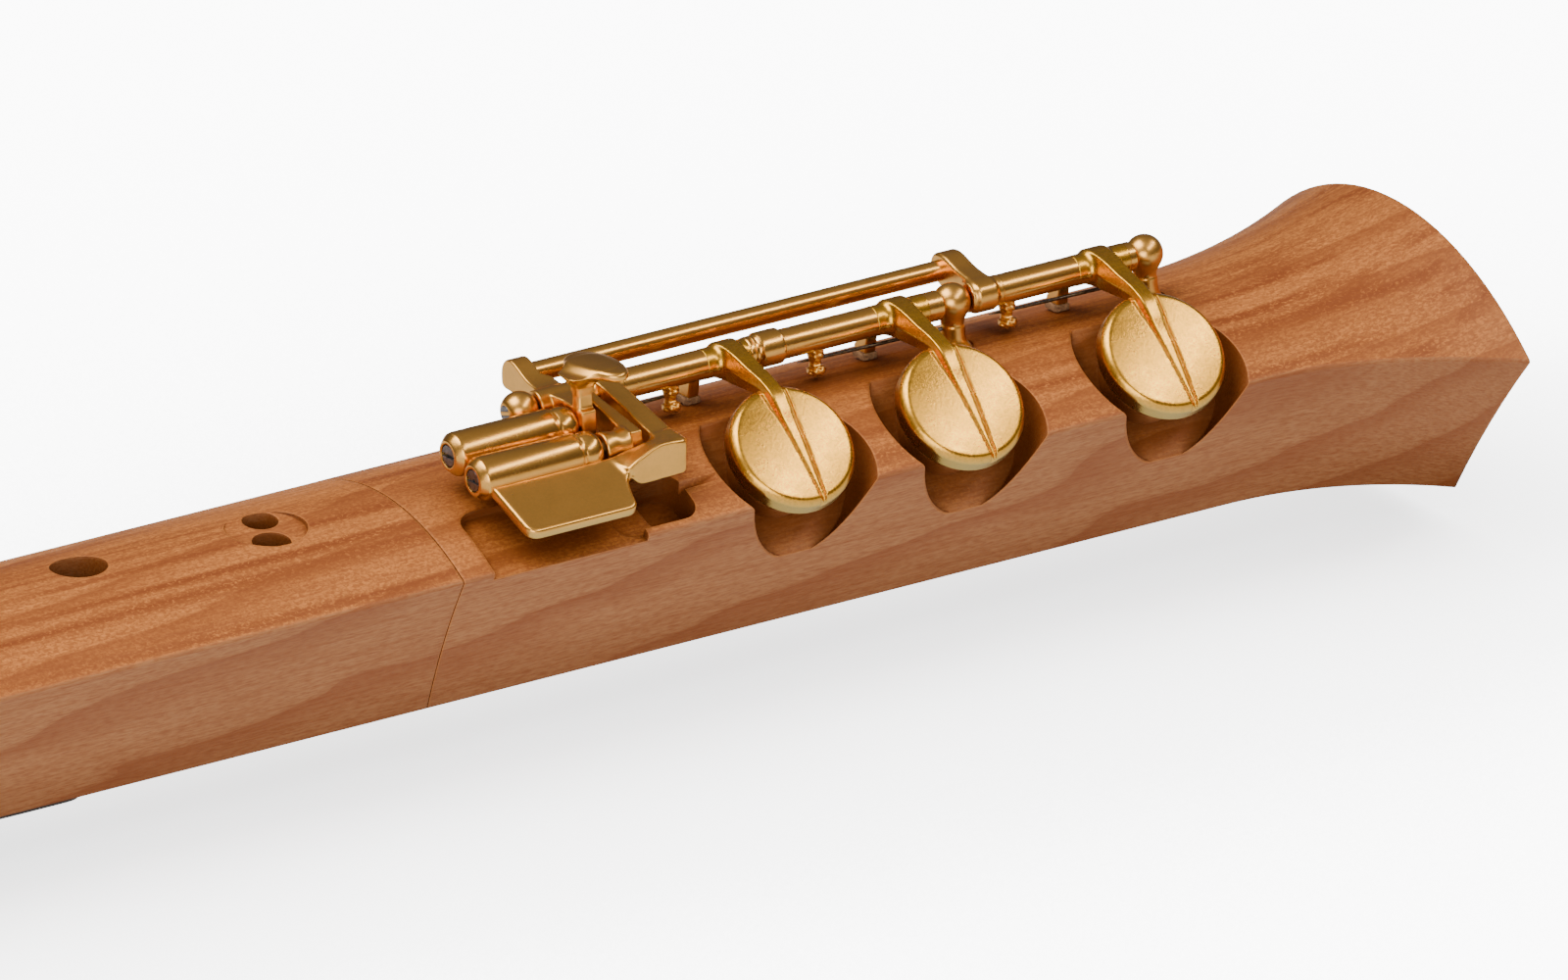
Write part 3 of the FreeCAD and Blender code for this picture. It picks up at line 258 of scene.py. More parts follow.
def lathe(name, profile, base, axis="x", segments=96):
    """Spins an outline of (distance along the axis, radius) corners; it may be closed or open."""
    profile = np.asarray(profile, float)
    count = len(profile)
    angles = np.linspace(0, 2 * math.pi, segments, endpoint=False)
    points = []
    for angle in angles:
        across, up = math.cos(angle), math.sin(angle)
        for run, radius in profile:
            if axis == "x":
                points.append((run, radius * across, radius * up))
            else:
                points.append((radius * across, radius * up, run))
    faces = []
    for turn in range(segments):
        here, there = turn * count, (turn + 1) % segments * count
        for index in range(count):
            after = (index + 1) % count
            faces.append((here + index, there + index, there + after, here + after))
    obj = meshed(name, np.array(points) * MM, faces, CREASE)
    obj.location = at(*base)
    return obj


# ---------------------------------------------------------------- materials


class Surface:
    """A node material put together one node at a time."""

    def __init__(self, name):
        self.material = bpy.data.materials.new(name)
        self.material.use_nodes = True
        self.tree = self.material.node_tree
        self.shader = self.tree.nodes["Principled BSDF"]
        self.place = self.add("TexCoord").outputs["Object"]

    def add(self, kind, inputs=None, **settings):
        """A new node; an input is either a value or another node's output."""
        node = self.tree.nodes.new("ShaderNode" + kind)
        for key, value in settings.items():
            setattr(node, key, value)
        for key, value in (inputs or {}).items():
            if isinstance(value, bpy.types.NodeSocket):
                self.tree.links.new(value, node.inputs[key])
            else:
                node.inputs[key].default_value = value
        return node

    def scaled(self, scale, shift=(0, 0, 0), turn=(0, 0, 0)):
        """The piece's own coordinates in metres, turned, scaled and shifted."""
        node = self.add("Mapping", {"Vector": self.place})
        node.inputs["Scale"].default_value = scale
        node.inputs["Rotation"].default_value = turn
        node.inputs["Location"].default_value = shift
        return node.outputs["Vector"]

    def noise(self, where, detail, rough, scale=1.0, distort=0.0):
        inputs = {
            "Vector": where,
            "Scale": scale,
            "Detail": detail,
            "Roughness": rough,
            "Distortion": distort,
        }
        return self.add("TexNoise", inputs).outputs["Fac"]

    def openness(self, reach, samples=8):
        """1 in the open, falling towards 0 where surfaces crowd within reach, in metres."""
        return self.add("AmbientOcclusion", {"Distance": reach}, samples=samples).outputs["AO"]

    def dot(self, first, second):
        return self.add("VectorMath", {0: first, 1: second}, operation="DOT_PRODUCT").outputs["Value"]

    def parts(self, vector):
        """The X, Y and Z outputs of a vector."""
        return self.add("SeparateXYZ", {"Vector": vector}).outputs

    def ramp(self, value, stops):
        """Stops are pairs of position and colour."""
        node = self.add("ValToRGB", {"Fac": value})
        ramp = node.color_ramp
        while len(ramp.elements) < len(stops):
            ramp.elements.new(0.5)
        for element, (position, colour) in zip(ramp.elements, stops):
            element.position = position
            element.color = (*colour, 1.0)
        return node.outputs["Color"]

    def span(self, value, start, stop, low=0.0, high=1.0):
        """Takes value from between start and stop to between low and high, clamped."""
        inputs = {"Value": value, "From Min": start, "From Max": stop, "To Min": low, "To Max": high}
        return self.add("MapRange", inputs).outputs["Result"]

    def mix(self, share, first, second):
        """First colour at share 0, second at share 1."""
        node = self.add("Mix", data_type="RGBA")
        sockets = {
            node.inputs[0]: share,
            node.inputs[6]: first,
            node.inputs[7]: second,
        }
        for socket, value in sockets.items():
            if isinstance(value, bpy.types.NodeSocket):
                self.tree.links.new(value, socket)
            elif isinstance(value, (int, float)):
                socket.default_value = value
            else:
                socket.default_value = (*value, 1.0)
        return node.outputs[2]

    def math(self, how, first, second=0.0):
        return self.add("Math", {0: first, 1: second}, operation=how).outputs[0]

    def bumps(self, height, strength, distance, edge=None):
        """A bumped normal, over edges rounded to radius edge in metres."""
        inputs = {"Height": height, "Strength": strength, "Distance": distance}
        if edge:
            inputs["Normal"] = self.add("Bevel", {"Radius": edge}, samples=4).outputs["Normal"]
        return self.add("Bump", inputs).outputs["Normal"]

    def set(self, **values):
        """Sets the shader's inputs and gives back the finished material."""
        for key, value in values.items():
            socket = self.shader.inputs[key.replace("_", " ")]
            if isinstance(value, bpy.types.NodeSocket):
                self.tree.links.new(value, socket)
            else:
                socket.default_value = value
        return self.material


# Linear colours. Gold that faces down is yellower, because it mirrors the wood under it.
GOLD = (0.97, 0.465, 0.095)
BLASTED_GOLD = (0.95, 0.455, 0.05)
# A darker copy of the gold, painted into its corners as shade.
SHADED_GOLD = (0.55, 0.285, 0.06)
OVER_WOOD = (0.66, 0.6, 0.22)
PALE_WOOD = (0.6, 0.2, 0.044)
# The sides: duller and greyer than the top, as painted shade and a painted sheen.
PLAIN_SAWN_SHADE_SHEEN = (0.475, 0.2, 0.074)
DEEP_WOOD = (0.25, 0.06, 0.011)

# Growth rings in each metre along X, Y and Z, and the streaks' turn off the grain, in radians.
RING_SLANT = (-16.0, 70.0, 112.0)
STREAK_TURN = (0, 0, 0.02)

# How far, in metres, painted shade reaches out of the gold's corners and out of the wood's hollows.
GOLD_SHADE_REACH = 0.0022
SHADE_REACH = 0.018

# How far, in metres, the wood's edges are painted paler, for wear and a painted highlight, and how round
# they look.
WORN_HIGHLIT_EDGE = 0.0006
ROUND_EDGE = 0.0007


def greys(*stops):
    """Ramp stops from pairs of position and level."""
    return [(position, (level,) * 3) for position, level in stops]


def scale_colour(colour, share):
    """The colour with each channel times share, which may also be above 1."""
    return [channel * share for channel in colour]


def make_gold(name, tint, roughness, grain):
    """Satin gold: blasted to a fine grain, duller in patches, with painted shade in its corners."""
    look = Surface(name)
    where = look.scaled((1, 1, 1))
    fine = look.noise(where, scale=2600.0, detail=2.0, rough=0.7)
    patches = look.noise(where, scale=260.0, detail=3.0, rough=0.6)
    colour = look.mix(look.span(patches, 0.35, 0.7), tint, scale_colour(tint, 0.88))
    speckle = look.span(fine, 0.34, 0.6, 0.6 * grain, 0.0)
    colour = look.mix(speckle, colour, scale_colour(tint, 0.45))
    # Painted shade: the darker gold goes where the corners crowd in.
    open_air = look.openness(GOLD_SHADE_REACH)
    colour = look.mix(look.span(open_air, 0.2, 0.7, 0.6, 0.0), colour, SHADED_GOLD)
    facing_up = look.parts(look.add("NewGeometry").outputs["Normal"])["Z"]
    colour = look.mix(look.span(facing_up, -0.7, 0.25, 0.75, 0.0), colour, OVER_WOOD)
    rough = look.math("ADD", look.span(patches, 0.3, 0.7, -0.03, 0.04), roughness)
    normal = look.bumps(fine, 0.5 * grain, 0.00005)
    return look.set(Metallic=1.0, Base_Color=colour, Roughness=rough, Normal=normal)


def make_wood(name, pale, deep, shift):
    """Pearwood: flecked across the quarter-sawn top, slanting growth rings on the plain sides; the top is
    painted in brighter light, the sides in painted shade with a greyish sheen, and the hollows in painted
    shade.
    """
    look = Surface(name)
    paler_wood = scale_colour(pale, 1.35)
    facing = look.parts(look.add("TexCoord").outputs["Normal"])
    # Faces that look up get the paler top colour: real flecked figure, and painted light from above.
    quartered_toplit = look.span(facing["Z"], 0.35, 0.8)
    slant = look.dot(look.scaled((1, 1, 1), shift), RING_SLANT)
    clouds = look.noise(look.scaled((9, 34, 34), shift), detail=3.0, rough=0.6)
    rings = look.math("FRACT", look.math("ADD", slant, look.math("MULTIPLY", clouds, 2.2)))
    streak_place = look.scaled((5, 230, 230), shift, STREAK_TURN)
    streaks = look.noise(streak_place, detail=3.0, rough=0.5, distort=0.2)
    fibres = look.noise(look.scaled((90, 2200, 2200)), detail=5.0, rough=0.65)
    dashes = look.noise(look.scaled((700, 3600, 3600)), detail=2.0, rough=0.5)
    flecks = look.noise(look.scaled((1700, 2500, 2500)), detail=1.5, rough=0.5, distort=0.8)

    # The plain sides in painted shade and a painted sheen, then the quarter-sawn top in painted light, then
    # the rings and fibres over both.
    late_wood = look.ramp(rings, greys((0.0, 0.5), (0.05, 0.0), (0.55, 0.08), (0.97, 1.0)))
    plain = look.mix(look.span(clouds, 0.3, 0.7), PLAIN_SAWN_SHADE_SHEEN, scale_colour(PLAIN_SAWN_SHADE_SHEEN, 0.86))
    plain = look.mix(look.span(dashes, 0.4, 0.7, 0.0, 0.6), plain, deep)
    face = look.mix(look.span(clouds, 0.3, 0.7), pale, scale_colour(pale, 0.82))
    face = look.mix(look.span(streaks, 0.5, 0.66), face, deep)
    face = look.mix(look.span(flecks, 0.45, 0.62, 0.0, 0.5), face, deep)
    face = look.mix(look.span(flecks, 0.3, 0.46, 0.5, 0.0), face, paler_wood)
    base = look.mix(quartered_toplit, plain, face)
    base = look.mix(look.math("MULTIPLY", late_wood, 0.62), base, deep)
    base = look.mix(look.span(fibres, 0.45, 0.72, 0.0, 0.55), base, deep)

    # Open pores on the cut ends.
    end_grain = look.span(look.math("ABSOLUTE", facing["X"]), 0.25, 0.9, 0.0, 0.75)
    pores = look.noise(look.scaled((2600, 2600, 2600)), detail=2.0, rough=0.5)
    cut = look.mix(look.span(pores, 0.35, 0.65), scale_colour(pale, 0.55), deep)
    base = look.mix(end_grain, base, cut)

    # Painted shade darkens the hollows; the open edges are paler, for wear and a painted highlight.
    open_air = look.openness(SHADE_REACH)
    # Painted shade: a darker wood colour where the hollows close in.
    base = look.mix(look.span(open_air, 0.25, 0.95, 0.78, 0.0), base, scale_colour(deep, 0.5))
    softened = look.add("Bevel", {"Radius": WORN_HIGHLIT_EDGE}, samples=6).outputs["Normal"]
    true_normal = look.add("NewGeometry").outputs["Normal"]
    turned = look.dot(softened, true_normal)
    at_edge = look.span(turned, 0.8, 0.995, 0.6, 0.0)
    # Paler edges: wear, and a painted highlight.
    edge_wear_and_highlight = look.math("MULTIPLY", at_edge, look.span(open_air, 0.55, 0.9))
    base = look.mix(edge_wear_and_highlight, base, paler_wood)
    rough = look.span(fibres, 0.3, 0.7, 0.4, 0.55)
    normal = look.bumps(look.math("ADD", fibres, flecks), 0.3, 0.00006, ROUND_EDGE)
    return look.set(
        Base_Color=base,
        Roughness=rough,
        Normal=normal,
        Specular_IOR_Level=look.span(open_air, 0.4, 0.95, 0.02, 0.32),
    )


def make_plain(name, pale, deep, scale, roughness, bump, metallic=0.0):
    """A mottled surface: cork, leather, plastic or steel, with scale grains in a metre."""
    look = Surface(name)
    grains = look.noise(look.scaled((scale, scale, scale)), detail=4.0, rough=0.62, distort=0.4)
    colour = look.ramp(grains, [(0.38, deep), (0.62, pale)])
    normal = look.bumps(grains, bump, 0.0001, 0.00015)
    return look.set(Base_Color=colour, Roughness=roughness, Normal=normal, Metallic=metallic)


gold_blasted = make_gold("gold_blasted", BLASTED_GOLD, roughness=0.27, grain=0.7)
gold_cast = make_gold("gold_cast", GOLD, roughness=0.3, grain=0.2)
gold_turned = make_gold("gold_turned", GOLD, roughness=0.24, grain=0.15)
foot_wood = make_wood("pearwood_foot", PALE_WOOD, DEEP_WOOD, (0.3, 0.046, 0.05))
middle_wood = make_wood("pearwood_middle", PALE_WOOD, DEEP_WOOD, (1.1, -0.05, 0.06))
head_wood = make_wood("pearwood_head", PALE_WOOD, DEEP_WOOD, (2.3, 0.03, -0.07))
cedar = make_wood("cedar", (0.42, 0.2, 0.09), (0.24, 0.09, 0.035), (0.7, 0.02, 0.09))
cork = make_plain("cork", (0.34, 0.18, 0.08), (0.16, 0.075, 0.03), scale=1600, roughness=0.85, bump=0.6)
leather = make_plain(
    "pad_leather", (0.6, 0.5, 0.38), (0.48, 0.37, 0.25), scale=2400, roughness=0.7, bump=0.35
)
plastic = make_plain(
    "black_plastic", (0.012, 0.012, 0.013), (0.007, 0.007, 0.008), scale=900, roughness=0.36, bump=0.1
)
steel = make_plain(
    "steel", (0.24, 0.24, 0.25), (0.13, 0.13, 0.14), scale=1800, roughness=0.3, bump=0.15, metallic=1.0
)


def dress(obj, material, slot_name, body, *replaced):
    """Gives a piece its finish and its body, and hides the CAD nodes it stands for."""
    obj.data.materials.clear()
    obj.data.materials.append(material)
    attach(obj, body)
    if replaced:
        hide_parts(*replaced)
    return obj


# ---------------------------------------------------------------- key cups and pads

# The arm's side, as (Y, Z): over the tube, down onto the cup and across it, then back inside.
SIDE_OF_ARM = np.concatenate(
    [
        curve(
            [
                (2.35, 20.2),
                (2.15, 21.6),
                (0.9, 22.75),
                (-1.2, 23.0),
                (-4.1, 22.35),
                (-6.9, 21.3),
                (-9.7, 20.45),
                (-12.2, 19.15),
                (-13.9, 17.35),
                (-15.6, 15.1),
                (-18.85, 11.3),
                (-22.95, 6.35),
            ],
            closed=False,
        ),
        [(-22.6, 5.9), (-18.0, 10.4), (-10.2, 18.0), (-6.5, 18.0), (-3.0, 18.0), (0.5, 18.3), (1.9, 19.0)],
    ]
)

# The arm's half width and the width of the valleys beside it, at places along Y.
ARM_PLACES = [-23.2, -22.8, -18.8, -15.5, -12.8, -8.0, -4.0, 0.0, 3.0]
ARM_HALF_WIDTHS = [0.04, 0.1, 0.5, 0.78, 1.02, 1.12, 1.28, 1.42, 1.3]
VALLEY_PLACES = [-23.0, -19.0, -15.0, -11.0]
VALLEY_WIDTHS = [0.3, 0.4, 0.55, 1.0]
VALLEY_DEPTH = 0.42

# The cup's body, its crown and sloping lip, and the hollow that holds the pad.
CUP_DEPTH = 3.0
CUP_CROWN = 0.55
LIP_START, LIP_WIDTH, LIP_DROP = 8.05, 1.05, 0.8
HOLLOW_RADIUS = 8.4
PAD_SEAT = -0.85
PAD_RADIUS, PAD_FACE = 8.3, -3.8


def cup_field(x, y, z):
    """One casting: the cup, and the arm that saddles its tube and dies out at the far rim."""
    back, up = tilted(y, z, FACE, CUP_TILT)
    radius = np.hypot(x, back)
    outer = np.clip((radius - LIP_START) / LIP_WIDTH, 0, 1)
    top = CUP_CROWN * (1 - (radius / CUP_RADIUS) ** 2) - LIP_DROP * outer * outer
    middle, half = (top - CUP_DEPTH) / 2, (top + CUP_DEPTH) / 2
    cup = rounded(radius - CUP_RADIUS, np.abs(up - middle) - half, 0.16)
    cup = np.maximum(cup, -np.maximum(radius - HOLLOW_RADIUS, between(up, -4.0, PAD_SEAT)))
    arm_middle = -0.35 - 0.0548 * y
    beside = np.abs(x - arm_middle)
    half_width = tabled(y, ARM_PLACES, ARM_HALF_WIDTHS)
    groove = tabled(y, VALLEY_PLACES, VALLEY_WIDTHS)
    valley = np.maximum(beside - half_width - groove, top - VALLEY_DEPTH - up)
    cup = np.maximum(cup, -valley)
    side = polygon(y, z, SIDE_OF_ARM)
    draft = 0.22 * np.clip(-side, 0, 2.2)
    arm = rounded(side, beside - half_width - draft, 0.14)
    return joined(saddled(arm, x, y, z, -4.2, 4.2, 1.1), cup, 0.12)


def pad_profile():
    """Half outline of a pad: height from the cup's face, and radius."""
    corners = [(PAD_SEAT, 0.2), (PAD_FACE, 0.2), (PAD_FACE, PAD_RADIUS - 0.1), (PAD_SEAT, PAD_RADIUS)]
    return eased(corners, [0.05, 0.05, 0.9, 0.1], 8)


def make_cups():
    low, high = (-9.5, -25.2, 3.5), (9.5, 3.2, 24.0)
    for key, cup in cast_row("{}_key_cup", STATIONS, low, high, cup_field, 0.15):
        dress(cup, gold_blasted, "gold", f"{key}_key", f"{key}_cup")
        pad = lathe(f"{key}_key_pad", pad_profile(), (STATIONS[key], *FACE), "z")
        pad.rotation_euler = (CUP_TILT, 0, 0)
        dress(pad, leather, "pad_leather", f"{key}_key", f"{key}_pad")


# ---------------------------------------------------------------- little finger touches

# The plate, in its own tilted frame: X, and how far it runs out towards the finger.
PLATE_REAR = (-16.3, 16.9)
PLATE_TILT = math.radians(26.6)
PLATE_THICKNESS = 1.75
PLATE_OUTLINE = eased(
    [(8.6, -0.9), (9.4, 8.95), (26.6, 8.95), (27.3, 5.2), (28.6, 1.9), (31.5, 0.6), (31.5, -0.9)],
    [0.3, 2.0, 1.4, 2.0, 2.0, 0.8, 0.3],
)

# The outer bar, from above and from the side.
BAR_PLAN = eased(
    [(34.2, 1.2), (34.2, -3.0), (34.65, -15.6), (33.2, -18.0), (38.2, -18.0), (37.0, 1.2)],
    0.2,
)
BAR_SIDE = curve(
    [
        (1.0, 22.75),
        (-2.3, 22.2),
        (-8.0, 20.7),
        (-14.0, 18.85),
        (-18.2, 18.0),
        (-18.4, 15.6),
        (-14.0, 16.5),
        (-8.0, 18.2),
        (-2.3, 19.2),
        (1.0, 20.2),
    ]
)

# The thick corner, from the front, and the web that leads into it, from above.
CREST = curve(
    [
        (28.2, 16.35),
        (29.76, 17.2),
        (31.23, 17.8),
        (32.72, 18.37),
        (33.9, 18.6),
        (35.6, 18.5),
        (37.6, 18.15),
    ],
    closed=False,
    steps=5,
)
UNDER_CREST = eased(
    [(37.6, 18.15), (37.85, 17.7), (37.65, 13.6), (30.0, 13.6), (28.5, 15.1)],
    [0.1, 0.5, 0.7, 1.0, 0.5],
)
CORNER_FRONT = np.concatenate([CREST, UNDER_CREST])
WEB_PLAN = [(28.3, -18.95), (27.6, -16.2), (30.0, -15.0), (34.9, -15.0), (37.3, -15.0), (37.6, -18.4)]
WEB_THICKNESS = 1.7


def touch_field(x, y, z):
    """The little finger's plate, the bar to its tube and the thick corner between them."""
    back, rise = tilted(y, z, PLATE_REAR, PLATE_TILT)
    plate = rounded(polygon(x, -back, PLATE_OUTLINE), between(rise, -PLATE_THICKNESS, 0.0), 0.55)
    bar = rounded(polygon(x, y, BAR_PLAN), polygon(y, z, BAR_SIDE), 0.2)
    lie = y + 19.2 - (x - 28.0) * 0.06
    corner = rounded(polygon(x, z + 0.03 * (y + 19), CORNER_FRONT), between(lie, 0.0, 2.6), 0.22)
    crest_height = tabled(x, CREST[:, 0], CREST[:, 1]) + 0.03
    rear_height = 17.25 + 0.2 * (x - 30.0)
    share = np.clip((-15.3 - y) / 3.4, 0, 1)
    web_top = rear_height * (1 - share) + crest_height * share
    half = WEB_THICKNESS / 2
    web = rounded(polygon(x, y, WEB_PLAN), np.abs(z - web_top + half) - half, 0.16)
    sheet = joined(joined(plate, bar, 0.8), web, 1.1)
    return saddled(joined(sheet, corner, 0.2), x, y, z, 34.22, 38.6, 0.7)


# The inner bar, from above and from the side.
INNER_BAR_PLAN = eased([(31.15, 2.4), (31.15, -14.6), (33.7, -14.3), (32.7, -4.5), (32.7, 2.4)], 0.12)
INNER_BAR_SIDE = eased(
    [
        (2.4, 20.4),
        (0.3, 22.9),
        (-3.0, 22.0),
        (-13.9, 19.25),
        (-14.3, 16.6),
        (-12.8, 15.6),
        (-9.0, 16.9),
        (-2.2, 18.6),
        (1.6, 18.3),
    ],
    [1.2, 1.0, 2.0, 0.12, 1.2, 2.0, 2.0, 1.0, 1.0],
)


def f_lever_field(x, y, z):
    """The inner bar, with the barrel that carries the front roller's pin."""
    bar = rounded(polygon(x, y, INNER_BAR_PLAN), polygon(y, z, INNER_BAR_SIDE), 0.14)
    hub = rounded(along_x(y, z, HINGE, 2.4), between(x, 31.12, 34.12), 0.2)
    barrel = rounded(along_x(y, z, FRONT_ROLLER, 2.2), between(x, 27.65, 31.7), 0.25)
    waist = 0.2 * np.exp(-(((x - 29.9) / 0.9) ** 2))
    lever = joined(joined(bar, hub, 0.4), barrel + waist, 0.45)
    return bored(lever, y, z, INNER_TUBE_RADIUS)


# The upper crank's arm, from the side and from above.
UPPER_ARM_SIDE = eased(
    [
        (10.35, 20.1),
        (10.3, 22.4),
        (9.9, 23.5),
        (9.0, 24.35),
        (7.9, 24.6),
        (6.8, 24.3),
        (3.4, 22.6),
        (-4.6, 21.95),
        (-8.7, 21.6),
        (-8.7, 17.9),
        (-6.8, 17.0),
        (-1.0, 18.2),
        (4.6, 19.7),
    ],
    [2.0, 1.0, 0.5, 0.5, 0.5, 0.5, 2.0, 1.0, 0.4, 1.0, 1.0, 2.0, 1.0],
)
UPPER_ARM_PLAN = [
    (26.3, 11.0),
    (26.3, 1.0),
    (27.45, -3.9),
    (27.45, -9.0),
    (29.75, -9.0),
    (29.9, -4.0),
    (30.3, -2.0),
    (30.3, 3.4),
    (29.1, 4.6),
    (29.1, 11.0),
]

# The stem's half width and half depth at heights along Z, and the leaf on it, from above.
STEM_HEIGHTS = [20.0, 22.0, 23.4, 24.6, 25.4, 26.4]
STEM_HALF_WIDTHS = [1.22, 1.22, 1.22, 1.55, 2.1, 3.1]
STEM_HALF_DEPTHS = [1.2, 1.0, 0.95, 1.15, 1.6, 2.5]
LEAF = curve(
    [
        (28.6, -2.6),
        (29.5, -1.2),
        (31.4, -0.6),
        (33.4, -1.6),
        (34.6, -4.3),
        (34.7, -7.8),
        (33.9, -10.6),
        (32.4, -11.9),
        (30.7, -11.3),
        (29.4, -9.3),
        (28.5, -6.8),
        (28.1, -4.5),
    ]
)


def e_lever_field(x, y, z):
    """The crank over the bridge rod's end, with the rear roller's boss, the stem and the leaf."""
    hub = rounded(along_x(y, z, HINGE, 2.15), between(x, 25.2, 31.02), 0.2)
    arm = rounded(polygon(y, z, UPPER_ARM_SIDE), polygon(x, y, UPPER_ARM_PLAN), 0.22)
    lean = (z - 22.0) * 0.11
    wide = tabled(z, STEM_HEIGHTS, STEM_HALF_WIDTHS)
    deep = tabled(z, STEM_HEIGHTS, STEM_HALF_DEPTHS)
    across, along = (x - 28.7 - lean * 0.9) / wide, (y + 6.9 - lean) / deep
    stem = (np.sqrt(np.sqrt(across**4 + along**4)) - 1) * np.minimum(wide, deep)
    stem = np.maximum(stem, between(z, 19.5, 26.4))
    dome = 0.3 - 0.035 * ((x - 31.3) ** 2 + 0.35 * (y + 6.2) ** 2)
    leaf = rounded(polygon(x, y, LEAF), between(z - dome, 25.9, 27.2), 0.55)
    lever = joined(joined(hub, arm, 0.3), joined(stem, leaf, 1.5), 0.35)
    return bored(lever, y, z, ROD_ROOM)


CRANK_SIDE = curve(
    [
        (9.9, 20.8),
        (10.3, 22.6),
        (9.2, 24.1),
        (7.0, 24.4),
        (3.6, 23.4),
        (0.5, 22.9),
        (-1.9, 22.3),
        (-2.6, 20.6),
        (-1.9, 18.9),
        (0.2, 18.0),
        (3.6, 18.6),
        (7.4, 19.6),
    ]
)


def e_crank_field(x, y, z):
    """The crank at the lower end of the bridge rod, over its tube."""
    crank = rounded(polygon(y, z, CRANK_SIDE), between(x, 95.0, 98.3), 0.5)
    return saddled(crank, x, y, z, 94.4, 99.4, 0.5)


def make_touches():
    touch = cast("little_finger_plate", (8.2, -25.0, 10.5), (39.0, 3.0, 23.6), touch_field, 0.17)
    dress(touch, gold_cast, "gold", "f_sharp_key", "f_sharp_touch")
    lever = cast("front_roller_lever", (27.3, -15.6, 14.6), (34.6, 3.4, 23.6), f_lever_field, 0.13)
    dress(lever, gold_cast, "gold", "f_key", "f_lever")
    crank = cast("rear_roller_lever", (24.8, -12.8, 15.8), (35.6, 11.0, 28.0), e_lever_field, 0.13)
    dress(crank, gold_cast, "gold", "e_key", "e_lever")
    far = cast("bridge_crank", (94.0, -3.2, 17.0), (99.8, 11.0, 25.0), e_crank_field, 0.13)
    dress(far, gold_cast, "gold", "e_key", "e_crank")


# ---------------------------------------------------------------- rollers, screws and posts


HEAD_THICKNESS = 1.0
SLOT_HALF_WIDTH, SLOT_DEPTH = 0.24, 0.5


def slotted_head(name, front, centre, radius, turn):
    """A screw head set into the end of a roller or post, with its driver's slot."""

    def field(x, y, z):
        across = (y - centre[0]) * math.cos(turn) + (z - centre[1]) * math.sin(turn)
        head = rounded(along_x(y, z, centre, radius), between(x, front, front + HEAD_THICKNESS), 0.12)
        return np.maximum(head, -np.maximum(np.abs(across) - SLOT_HALF_WIDTH, x - front - SLOT_DEPTH))

    room = 0.2
    low = (front - room, centre[0] - radius - room, centre[1] - radius - room)
    high = (front + HEAD_THICKNESS + room, centre[0] + radius + room, centre[1] + radius + room)
    return cast(name, low, high, field, 0.06)


def roller_profile():
    """Half outline of a roller: hollow cap at its upper end, double groove and bead at the lower."""
    cap = [(0.95, 0.95), (0.95, 1.62), (0.0, 1.62), (0.0, 2.12), (0.95, 3.0), (1.5, 3.1)]
    bead = [(17.0, 2.74), (17.7, 2.88), (18.5, 2.86), (19.2, 2.56), (19.65, 2.1), (19.88, 1.6)]
    return np.concatenate(
        [
            eased(cap, 0.16, 3)[4:-4],
            [(1.5, 3.1), (15.7, 3.1), (15.85, 3.04), (15.95, 2.84), (16.1, 2.84)],
            [(16.2, 2.96), (16.45, 2.96), (16.6, 2.7), (16.8, 2.66)],
            curve(bead, False, 6),
            [(19.9, 0.95)],
        ]
    )


def make_rollers():
    """The two rollers, and their screws with the slots turned as they came to rest."""
    for side, key, centre, turn in (
        ("rear", "e_key", REAR_ROLLER, 1.45),
        ("front", "f_key", FRONT_ROLLER, 0.35),
    ):
        roller = lathe(f"{side}_touch_roller", roller_profile(), (7.3, *centre), "x", 128)
        dress(roller, gold_turned, "gold", f"{side}_roller", f"{side}_roller")
        head = slotted_head(f"{side}_roller_screw", 7.55, centre, 1.5, turn)
        dress(head, steel, "steel", key)


def post_field(x, y, z):
    """A turned post: ball, neck and flared base, with flats where the tubes meet it."""
    radius = np.hypot(x, y)
    ball = np.sqrt(x**2 + y**2 + (z - HINGE_Z) ** 2) - 2.65
    neck = np.maximum(radius - 1.6, between(z, 14.0, 19.5))
    flare = 1.6 + 1.2 * np.exp(-((z - 13.9) / 0.75))
    base = np.maximum(radius - np.minimum(flare, 2.8), between(z, 13.9, 17.0))
    post = joined(joined(ball, neck, 0.9), base, 0.4)
    return shared(post, np.abs(x) - 2.32, 0.25)


# How far, in millimetres, a needle reaches past its post and past its hook, and how it tapers.
NEEDLE_TAIL, NEEDLE_POINT = 1.5, 2.0
NEEDLE_SHARES = (0.0, 0.7, 0.94, 1.0)
NEEDLE_RADII = (0.28, 0.27, 0.2, 0.07)


def make_needles():
    """Needle springs: steel wires let into their posts, running straight past the hooks."""
    for (row, station), (key, hook) in zip(POSTS.items(), HOOKS.items()):
        way = math.copysign(1.0, hook - station)
        start = Vector((station - NEEDLE_TAIL * way, -0.1, 16.9))
        run = Vector((hook + NEEDLE_POINT * way, 1.54, 16.6)) - start
        shares = np.linspace(0.0, 1.0, 31)
        radii = np.interp(shares, NEEDLE_SHARES, NEEDLE_RADII)
        wire = [(0.0, 0.05), *zip(shares * run.length, radii), (run.length, 0.02)]
        needle = lathe(f"needle_{row}_drawn", wire, start, "x", 24)
        needle.rotation_euler = run.to_track_quat("X", "Z").to_euler()
        needle.data.materials.append(steel)
        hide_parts(f"needle_spring_{row}")
        at(station, 0, 17)
        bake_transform(needle)


def make_posts():
    for row, post in cast_row("post_{}_turned", POSTS, (-3, -3, 13.6), (3, 3, 23.4), post_field, 0.12):
        dress(post, gold_cast, "gold", "foot", f"post_{row}")
    head = slotted_head("hinge_screw_head", 20.42, HINGE, 1.15, 1.3)
    dress(head, steel, "steel", "foot")


